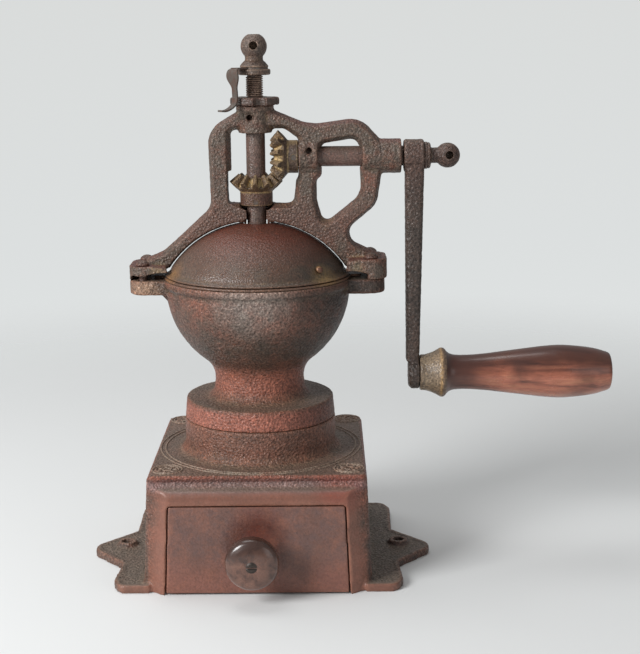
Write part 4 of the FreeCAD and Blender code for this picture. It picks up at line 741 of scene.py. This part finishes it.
class MILL_OT_plate_ornament(bpy.types.Operator):
    """Raises two rings and four rosettes on the top plate"""
    bl_idname = "coffee_mill.plate_ornament"
    bl_label = "Plate ornament"

    def execute(self, context):
        sizes = context.scene.mill_sizes
        found = casting_materials(context.scene.mill_colours)
        obj = empty_piece("plate_ornament")
        modifier = obj.modifiers.new("ornament", "NODES")
        modifier.node_group = ornament_tree(found["rubbed_ornament_iron"])
        set_inputs(modifier, {"Ring Radius": sizes.ring_radius, "Ring Gap": sizes.ring_gap, "Bead": sizes.ring_bead,
                              "Rosette Radius": sizes.rosette_radius, "Across": sizes.rosette_reach_x,
                              "Along": sizes.rosette_reach_y, "Petals": sizes.petals,
                              "Height": PLATE_TOP - sizes.ring_bead * 0.1})
        baked(obj)
        finish_piece(obj, found["rubbed_ornament_iron"], "base_casting")
        return {"FINISHED"}


class MILL_OT_drive(bpy.types.Operator):
    """Finishes the bevel gears, the spindle and the crank shaft"""
    bl_idname = "coffee_mill.drive"
    bl_label = "Gears and shafts"

    def execute(self, context):
        sizes, colours = context.scene.mill_sizes, context.scene.mill_colours
        # Cut iron gear teeth caked with dried coffee dust and grease
        gear = worn_casting("dusty_gear_iron", paint=srgb("#84694a"), deep=srgb("#3b2c23"), iron=srgb("#54483f"),
                            edge=srgb("#b2966c"), dust=srgb("#c0a472"), edge_share=0.4, dust_share=0.8,
                            top_share=0.6, top_tint="#bda47c", grain=0.9, relief=0.6,
                            # The two collars stay dark below their teeth
                            zones=[("Z", 0.22, 0.2352, 0.0006, "#54382e", 0.95),
                                   ("X", 0.0176, 0.04, 0.0006, "#524239", 0.95)])
        # Turned steel rod under thin brown paint, rubbed lighter on its edges
        shaft = worn_casting("painted_shaft_steel", paint=srgb("#70534a"), deep=srgb("#4c3e36"),
                             iron=srgb("#625850"), edge=srgb("#8a6a5c"), dust=colours.dust, iron_share=0.6,
                             grain=0.9, relief=0.4, shine=0.38)
        for node in ("arbor_gear", "crank_gear"):
            skin(node + "_skin", node, gear, sizes.fine_cell * 0.85, sizes.sand_grain * 0.5, sizes.sand_depth * 0.6,
                 11.0, rounds=2)
        for node in ("arbor", "crank_shaft"):
            skin(node + "_skin", node, shaft, sizes.fine_cell * 1.2, sizes.sand_grain, sizes.sand_depth * 0.35, 12.0)
        for node in ("arbor_gear_pin", "crank_gear_pin", "thrust_pad"):
            carried(node, rusted_steel())
        return {"FINISHED"}


def thread_tree(material):
    """Geometry nodes that wind a thread's crest round a screw."""
    tree, source = new_tree("screw_thread", (("Radius", "Float", SCREW_RADIUS), ("Pitch", "Float", 1.3 * MM),
                                             ("Low", "Float", WHEEL_TOP), ("High", "Float", CATCH_PLATE_UNDER),
                                             ("Crest", "Float", 0.5 * MM)))
    rise = add(tree, "ShaderNodeMath", {0: source.outputs["High"], 1: source.outputs["Low"]}, operation="SUBTRACT")
    turns = add(tree, "ShaderNodeMath", {0: rise, 1: source.outputs["Pitch"]}, operation="DIVIDE")
    line = add(tree, "GeometryNodeCurveSpiral", {"Resolution": 48, "Rotations": turns,
                                                 "Start Radius": source.outputs["Radius"],
                                                 "End Radius": source.outputs["Radius"], "Height": rise})
    crest = add(tree, "GeometryNodeCurvePrimitiveCircle", {"Resolution": 6, "Radius": source.outputs["Crest"]})
    ridge = add(tree, "GeometryNodeCurveToMesh", {"Curve": line, "Profile Curve": crest,
                                                  "Fill Caps": True})
    lift = add(tree, "ShaderNodeCombineXYZ", {2: source.outputs["Low"]})
    placed = add(tree, "GeometryNodeTransform", {"Geometry": ridge, "Translation": lift})
    marked = add(tree, "GeometryNodeStoreNamedAttribute", {"Geometry": placed, "Name": "wear",
                                                           "Value": (1.0, 0.0, 0.0)},
                 data_type="FLOAT_VECTOR", domain="POINT")
    real = add(tree, "GeometryNodeRealizeInstances", {0: marked})
    done = add(tree, "GeometryNodeSetMaterial", {"Geometry": real, "Material": material})
    add(tree, "NodeGroupOutput", {0: done})
    return tree


def packed_dirt(x, z):
    """A block of packed grease and dust that closes a ball's cross hole in the middle."""
    half, front, back = 2.7 * MM, -1.5 * MM, 3 * MM
    return block((x - half, front, z - half), (x + half, back, z + half))


class MILL_OT_setting(bpy.types.Operator):
    """Finishes the setting screw with its thread, the index wheel and the spring catch"""
    bl_idname = "coffee_mill.setting"
    bl_label = "Setting screw"

    def execute(self, context):
        sizes, colours = context.scene.mill_sizes, context.scene.mill_colours
        # Turned screw with greasy brown paint worn down to grey iron
        screw = worn_casting("painted_screw_iron", paint=srgb("#6b5044"), deep=srgb("#463830"),
                             iron=srgb("#62574e"), edge=srgb("#a58a76"), dust=colours.dust, iron_share=0.7,
                             edge_share=0.6, dust_share=0.2, grain=1.0, relief=0.6)
        # Cast index wheel: dark greasy paint, red-brown where its edges are rubbed
        wheel = worn_casting("painted_wheel_iron", paint=srgb("#573f36"), deep=srgb("#362c27"),
                             iron=srgb("#4b433c"), edge=srgb("#86584a"), dust=colours.dust, iron_share=0.8,
                             grain=1.0, relief=0.5, shine=0.38)
        core = SCREW_RADIUS - sizes.thread_depth
        low, high = WHEEL_TOP + 0.1 * MM, CATCH_PLATE_UNDER - 0.1 * MM

        def thinned(place):
            """Turns the shank between wheel and catch plate down to the thread's core."""
            radius = np.hypot(place[:, 0], place[:, 1])
            shank = (place[:, 2] > low - MM) & (place[:, 2] < high + 0.3 * MM)
            shank &= radius < SCREW_RADIUS + 0.2 * MM
            place[shank, :2] *= (core / np.maximum(radius[shank], 0.01 * MM))[:, None]
            return place

        hole_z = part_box("adjusting_screw")[1].z - 6.7 * MM
        skin("setting_screw_skin", "adjusting_screw", screw, sizes.fine_cell, sizes.sand_grain * 0.6,
             sizes.sand_depth * 0.5, 21.0, rounds=2, shape=thinned,
             extra=[packed_dirt(0.0, hole_z)])
        skin("catch_plate_skin", "catch_plate", screw, sizes.fine_cell * 0.9, sizes.sand_grain * 0.6,
             sizes.sand_depth * 0.4, 22.0, rounds=2)
        skin("index_wheel_skin", "index_wheel", wheel, sizes.fine_cell, sizes.sand_grain * 0.6,
             sizes.sand_depth * 0.5, 23.0, rounds=2)
        obj = empty_piece("setting_screw_thread")
        modifier = obj.modifiers.new("thread", "NODES")
        modifier.node_group = thread_tree(screw)
        crest = sizes.thread_depth * 0.62
        set_inputs(modifier, {"Radius": SCREW_RADIUS - crest, "Pitch": sizes.thread_pitch, "Low": low + crest,
                              "High": high - crest, "Crest": crest})
        baked(obj)
        finish_piece(obj, screw, "adjusting_screw")
        for node in ("catch_strap", "catch_leaf"):
            carried(node, rusted_steel())
        return {"FINISHED"}


class MILL_OT_crank(bpy.types.Operator):
    """Finishes the crank arm with its washer, its ball nut and the grip's spindle"""
    bl_idname = "coffee_mill.crank"
    bl_label = "Crank"

    def execute(self, context):
        sizes = context.scene.mill_sizes
        # Rough cast iron arm: nearly bare, dark, with brown patina and a grain with painted glints
        arm = worn_casting("bare_crank_iron", paint=srgb("#503e35"), deep=srgb("#332b27"), iron=srgb("#443c36"),
                           edge=srgb("#7a675b"), dust=srgb("#7d6f5b"), iron_share=0.7, grain=1.6,
                           zones=[("Z", 0.235, 0.3, 0.01, "#5e4238", 0.5), ("Z", 0.165, 0.18, 0.01, "#332d29", 0.6)])
        skin("crank_arm_skin", "crank_arm", arm, sizes.bowl_cell * 0.8, sizes.sand_grain * 0.7,
             sizes.sand_depth * 1.3, 31.0)
        hole_x, hole_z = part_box("crank_nut")[1].x - 6.9 * MM, SHAFT_Z + 0.5 * MM
        for node, extra in (("crank_nut", [packed_dirt(hole_x, hole_z)]), ("crank_washer", ())):
            skin(node + "_skin", node, arm, sizes.fine_cell, sizes.sand_grain * 0.6, sizes.sand_depth * 0.6, 32.0,
                 rounds=2, extra=extra)
        carried("grip_spindle", rusted_steel())
        return {"FINISHED"}


class MILL_OT_grip(bpy.types.Operator):
    """Turns the mahogany grip and its bronze ferrule"""
    bl_idname = "coffee_mill.grip"
    bl_label = "Grip and ferrule"

    def execute(self, context):
        colours = context.scene.mill_colours
        # Mahogany, turned and hand polished: red-brown with near black streaks and a soft gloss, painted shade on
        # its upper side and darker towards the ferrule
        wood = polished_wood("polished_mahogany", colours.grip, dark="#3c1e16", streak="#b5795c", along=0,
                             rough=0.28, coat=0.4, middle=GRIP_Z, root=(124 * MM, 156 * MM))
        # Bronze ferrule, dark patina with a brassy rim where hands rub it
        bronze = worn_casting("patinated_bronze", paint=srgb("#8a7762"), deep=srgb("#54463a"), iron=srgb("#97866f"),
                              edge=srgb("#b08d4e"), dust=srgb("#5c4f41"), edge_share=0.0, dust_share=0.0,
                              top_share=0.0, grain=1.2, relief=0.4, shine=0.34,
                              zones=[("X", 0.1137, 0.1152, 0.0008, "#a98350", 0.85),
                                     ("X", 0.1152, 0.119, 0.0006, "#54392c", 0.7)])
        # Where the ferrule starts, where the wood starts and where it ends, in millimetres along the X axis
        root, joint, tip = 101.3, 117.6, 221.6
        turned("ferrule_turned", "ferrule", bronze, (root * MM, 0, GRIP_Z), (joint * MM, 0, GRIP_Z),
               [(root, 10.6), (root + 0.5, 11.1), (root + 3.2, 11.4), (root + 6.5, 12.3), (root + 9.2, 13.4),
                (root + 11.4, 14.6), (root + 12.6, 15.3), (root + 13.7, 15.6), (root + 15.0, 15.35),
                (joint - 0.4, 14.7), (joint, 14.3)], 80)
        turned("grip_turned", "grip", wood, (joint * MM, 0, GRIP_Z), (tip * MM, 0, GRIP_Z),
               [(joint, 14.0), (joint + 1.2, 12.9), (joint + 3.2, 11.7), (joint + 5.9, 11.05), (joint + 12, 10.85),
                (joint + 21.4, 11.35), (joint + 37.4, 13.2), (joint + 53, 15.1), (joint + 64, 16.3),
                (joint + 72, 16.7), (joint + 80, 16.3), (joint + 92.4, 14.8), (tip - 4, 12.8), (tip - 1.4, 11.9),
                (tip - 0.4, 11.2), (tip, 9.9)], 200, 112)
        return {"FINISHED"}


class MILL_OT_drawer(bpy.types.Operator):
    """Finishes the drawer front, its turned knob and its tray"""
    bl_idname = "coffee_mill.drawer"
    bl_label = "Drawer"

    def execute(self, context):
        sizes, colours = context.scene.mill_sizes, context.scene.mill_colours
        # Smooth cast front under thicker paint: soft blotches, little grain and a satin gloss
        front = worn_casting("painted_drawer_iron", paint=colours.drawer, deep=srgb("#6d4c41"),
                             iron=srgb("#5d4a48"), edge=colours.worn_edge, dust=srgb("#5a443b"), iron_share=0.75,
                             dust_share=0.2, top_share=0.0, grain=1.4, relief=0.25, shine=0.36, speckle_and_glints=0.3,
                             # Red low down; above the knob a dark red patch that is partly the knob's painted
                             # shadow, a dark ring of painted shade round the knob and the knob's painted shadow
                             # beside it
                             zones=[("Z", 0.0, 0.014, 0.012, "#8f5543", 0.7),
                                    ((0.001, -0.074, 0.041), -OUT, 0.01, 0.01, "#6b3328", 0.95),
                                    ((0.0, -0.074, 0.03), 0.01, 0.019, 0.004, "#4c2c24", 0.7),
                                    ((0.024, -0.074, 0.018), -OUT, 0.008, 0.008, "#4a3833", 0.8)])
        foot, drop = 3.2 * MM, 1.0 * MM

        def lowered(place):
            """Lets the front reach a little further down."""
            place[place[:, 2] < foot, 2] -= drop
            return place

        skin("drawer_front_skin", "drawer_front", front, sizes.bowl_cell, sizes.sand_grain * 2.5,
             sizes.sand_depth * 0.3, 41.0, rounds=2, shape=lowered)
        # Ebonised hardwood knob: dark brown under a satin polish, with painted shade on its upper side
        knob = polished_wood("ebonised_knob_wood", srgb("#6b4a3d"), dark="#33201a", streak="#7d5a4b", along=1,
                             rough=0.26, coat=0.5, middle=26.6 * MM)
        low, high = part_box("drawer_knob")
        x, z = (low.x + high.x) / 2, (low.z + high.z) / 2
        # The profile runs from the knob's seat on the drawer to its face
        reach = (high.y - low.y) / MM
        turned("drawer_knob_turned", "drawer_knob", knob, (x, high.y, z), (x, low.y, z),
               [(0, 9.0), (reach - 23.5, 9.0), (reach - 22, 8.0), (reach - 20, 7.0), (reach - 18, 7.6),
                (reach - 16, 9.5), (reach - 13, 13.8), (reach - 10.5, 15.5), (reach - 7, 16.0), (reach - 5, 15.7),
                (reach - 3.2, 14.8), (reach - 1.6, 12.4), (reach - 0.5, 9), (reach, 5.0)], 110)
        # Blued steel screw, greasy and nearly black
        slotted = bare_metal("greasy_screw_steel", "#4b4541", "#2e231e", 0.6, 0.36)
        skin("knob_screw_skin", "knob_screw", slotted, 0.34 * MM, rounds=2)
        # Tinned sheet tray: dull silver with grey bloom
        tin = bare_metal("tinned_tray_sheet", "#a5a39c", "#6e675c", 0.3, 0.35)
        carried("drawer_tray", tin)
        carried("knob_nut", rusted_steel())
        return {"FINISHED"}


class MILL_OT_fasteners(bpy.types.Operator):
    """Finishes the screws and bolts"""
    bl_idname = "coffee_mill.fasteners"
    bl_label = "Fasteners"

    def execute(self, context):
        sizes, colours = context.scene.mill_sizes, context.scene.mill_colours
        # Round iron bolt heads under the same paint, rubbed on their crowns
        heads = worn_casting("painted_bolt_iron", paint=srgb("#674538"), deep=srgb("#3d2f2a"), iron=srgb("#4f4641"),
                             edge=srgb("#8f6250"), dust=colours.dust, dust_share=0.4, grain=1.0, relief=0.6)
        skin("bridge_bolts_skin", "bridge_bolts", heads, sizes.fine_cell, sizes.sand_grain * 0.6,
             sizes.sand_depth * 0.8, 51.0, rounds=2)
        for node in ("hopper_screws", "bearing_screws", "burr_pin"):
            carried(node, rusted_steel())
        return {"FINISHED"}


class MILL_OT_burrs(bpy.types.Operator):
    """Finishes the burrs and the lower bearing inside the box"""
    bl_idname = "coffee_mill.burrs"
    bl_label = "Burrs and bearing"

    def execute(self, context):
        # Chilled cast iron burrs: grey, browned by coffee oil
        burr = bare_metal("oiled_burr_iron", "#6e6a66", "#4a3a30", 0.5, 0.4)
        # Bare cast bearing bar: dark brown-grey patina
        bar = bare_metal("bare_bearing_iron", "#5a544f", "#46362e", 0.7, 0.55)
        for node in ("inner_burr", "outer_burr"):
            carried(node, burr)
        carried("lower_bearing", bar)
        return {"FINISHED"}


class MILL_OT_stage(bpy.types.Operator):
    """Sets the pale floor, the soft lights and the camera"""
    bl_idname = "coffee_mill.stage"
    bl_label = "Studio"

    def execute(self, context):
        scene = context.scene
        scene.view_settings.view_transform = "Standard"
        # Matt studio paper: pale, catching a soft shadow and fading into the backdrop
        material, tree = new_material("pale_studio_paper")
        place = add(tree, "ShaderNodeTexCoord").outputs["Object"]
        reach = add(tree, "ShaderNodeVectorMath", {0: place, 1: (0.03, 0.0, 0.0)}, operation="DISTANCE")
        away = add(tree, "ShaderNodeMapRange", {"Value": reach.outputs["Value"], "From Min": 0.3, "From Max": 0.95},
                   interpolation_type="SMOOTHSTEP")
        fibre = add(tree, "ShaderNodeTexNoise", {"Vector": place, "Scale": 1 / (2 * MM), "Detail": 3.0})
        tooth = add(tree, "ShaderNodeBump", {"Strength": 0.05, "Distance": 0.1 * MM, "Height": fibre})
        paper = add(tree, "ShaderNodeBsdfPrincipled", {"Base Color": four(scene.mill_colours.floor),
                                                       "Roughness": 0.75, "Normal": tooth,
                                                       "Specular IOR Level": 0.2})
        clear = add(tree, "ShaderNodeBsdfTransparent")
        shown = add(tree, "ShaderNodeMixShader", {0: away, 1: paper, 2: clear})
        add(tree, "ShaderNodeOutputMaterial", {0: shown})
        floor = empty_piece("studio_floor")
        work = bmesh.new()
        bmesh.ops.create_circle(work, cap_ends=True, segments=96, radius=1.2)
        work.to_mesh(floor.data)
        work.free()
        floor.data.materials.append(material)
        # The world is plain weak light for the mill, and the pale backdrop for the camera
        world = bpy.data.worlds.new("studio_air")
        scene.world = world
        world.use_nodes = True
        tree = world.node_tree
        tree.nodes.clear()
        toward = add(tree, "ShaderNodeTexCoord").outputs["Generated"]
        climb = add(tree, "ShaderNodeSeparateXYZ", {0: toward}).outputs["Z"]
        share = add(tree, "ShaderNodeMapRange", {"Value": climb, "From Min": -0.4, "From Max": 0.35})
        shade = add(tree, "ShaderNodeValToRGB", {0: share}, stops=[
            (0.0, srgb("#e4e7e7")), (0.35, srgb("#dcdfdf")), (0.62, srgb("#d9dbda")), (1.0, srgb("#dfdfdd"))])
        seen = add(tree, "ShaderNodeBackground", {0: shade, 1: 1.0})
        lit = add(tree, "ShaderNodeBackground", {0: (1.0, 1.0, 1.0, 1.0), 1: 0.33})
        path = add(tree, "ShaderNodeLightPath")
        direct = add(tree, "ShaderNodeMath", {0: path.outputs["Is Camera Ray"],
                                              1: path.outputs["Is Transmission Ray"]}, operation="MAXIMUM")
        mix = add(tree, "ShaderNodeMixShader", {0: direct, 1: lit, 2: seen})
        add(tree, "ShaderNodeOutputWorld", {0: mix})
        # Each lamp: where it stands, its side in metres and its power in watts, all turned to the hopper
        hopper_middle = Vector((0.01, 0.0, 0.13))
        lamps = (("key", (-1.0, -0.85, 0.8), 0.6, 22.5), ("fill", (0.9, -1.0, 0.35), 0.7, 1.3),
                 ("top", (-0.25, 0.25, 1.3), 0.7, 5.0))
        for name, place, side, power in lamps:
            lamp = bpy.data.lights.new(name + "_light", "AREA")
            lamp.energy = power
            lamp.size = side
            holder = bpy.data.objects.new(name + "_light", lamp)
            scene.collection.objects.link(holder)
            holder.location = place
            holder.rotation_euler = (hopper_middle - Vector(place)).to_track_quat("-Z", "Y").to_euler()
        camera = bpy.data.objects.new("camera", bpy.data.cameras.new("camera"))
        scene.collection.objects.link(camera)
        scene.camera = camera
        # The sensor lies along the picture's longer side, its height
        camera.data.sensor_width = 36.0
        camera.data.lens = LENS_PIXELS * camera.data.sensor_width / PICTURE_PIXELS
        camera.data.clip_start = 10 * MM
        pitch, yaw, roll = (math.radians(angle) for angle in CAMERA_TURN)
        ahead = Vector((-math.sin(yaw) * math.cos(pitch), math.cos(yaw) * math.cos(pitch), -math.sin(pitch)))
        level = Vector((math.cos(yaw), math.sin(yaw), 0))
        upright = level.cross(ahead)
        right = math.cos(roll) * level + math.sin(roll) * upright
        head = right.cross(ahead)
        stand = Vector(CAMERA_AIM) - CAMERA_DISTANCE * ahead
        camera.matrix_world = Matrix([(right[i], head[i], -ahead[i], stand[i]) for i in range(3)] + [(0, 0, 0, 1)])
        return {"FINISHED"}


PIECE_OPERATORS = (MILL_OT_castings, MILL_OT_covers, MILL_OT_plate_ornament, MILL_OT_drive, MILL_OT_setting,
                   MILL_OT_crank, MILL_OT_grip, MILL_OT_drawer, MILL_OT_fasteners, MILL_OT_burrs, MILL_OT_stage)


class MILL_PT_dresser(bpy.types.Panel):
    """Lists the mill's pieces in the sidebar"""
    bl_label = "Coffee Mill"
    bl_idname = "MILL_PT_dresser"
    bl_space_type = "VIEW_3D"
    bl_region_type = "UI"
    bl_category = "Coffee Mill"

    def draw(self, context):
        for operator in PIECE_OPERATORS:
            self.layout.operator(operator.bl_idname)
        for group in (context.scene.mill_sizes, context.scene.mill_colours):
            column = self.layout.column()
            for name in group.bl_rna.properties.keys():
                if name not in ("rna_type", "name"):
                    column.prop(group, name)


CLASSES = (MillSizes, MillColours, *PIECE_OPERATORS, MILL_PT_dresser)


def register():
    for cls in CLASSES:
        bpy.utils.register_class(cls)
    bpy.types.Scene.mill_sizes = PointerProperty(type=MillSizes)
    bpy.types.Scene.mill_colours = PointerProperty(type=MillColours)


def unregister():
    del bpy.types.Scene.mill_sizes
    del bpy.types.Scene.mill_colours
    for cls in reversed(CLASSES):
        bpy.utils.unregister_class(cls)


def main():
    register()
    for operator in PIECE_OPERATORS:
        group, name = operator.bl_idname.split(".")
        getattr(getattr(bpy.ops, group), name)()


if __name__ == "__main__":
    main()
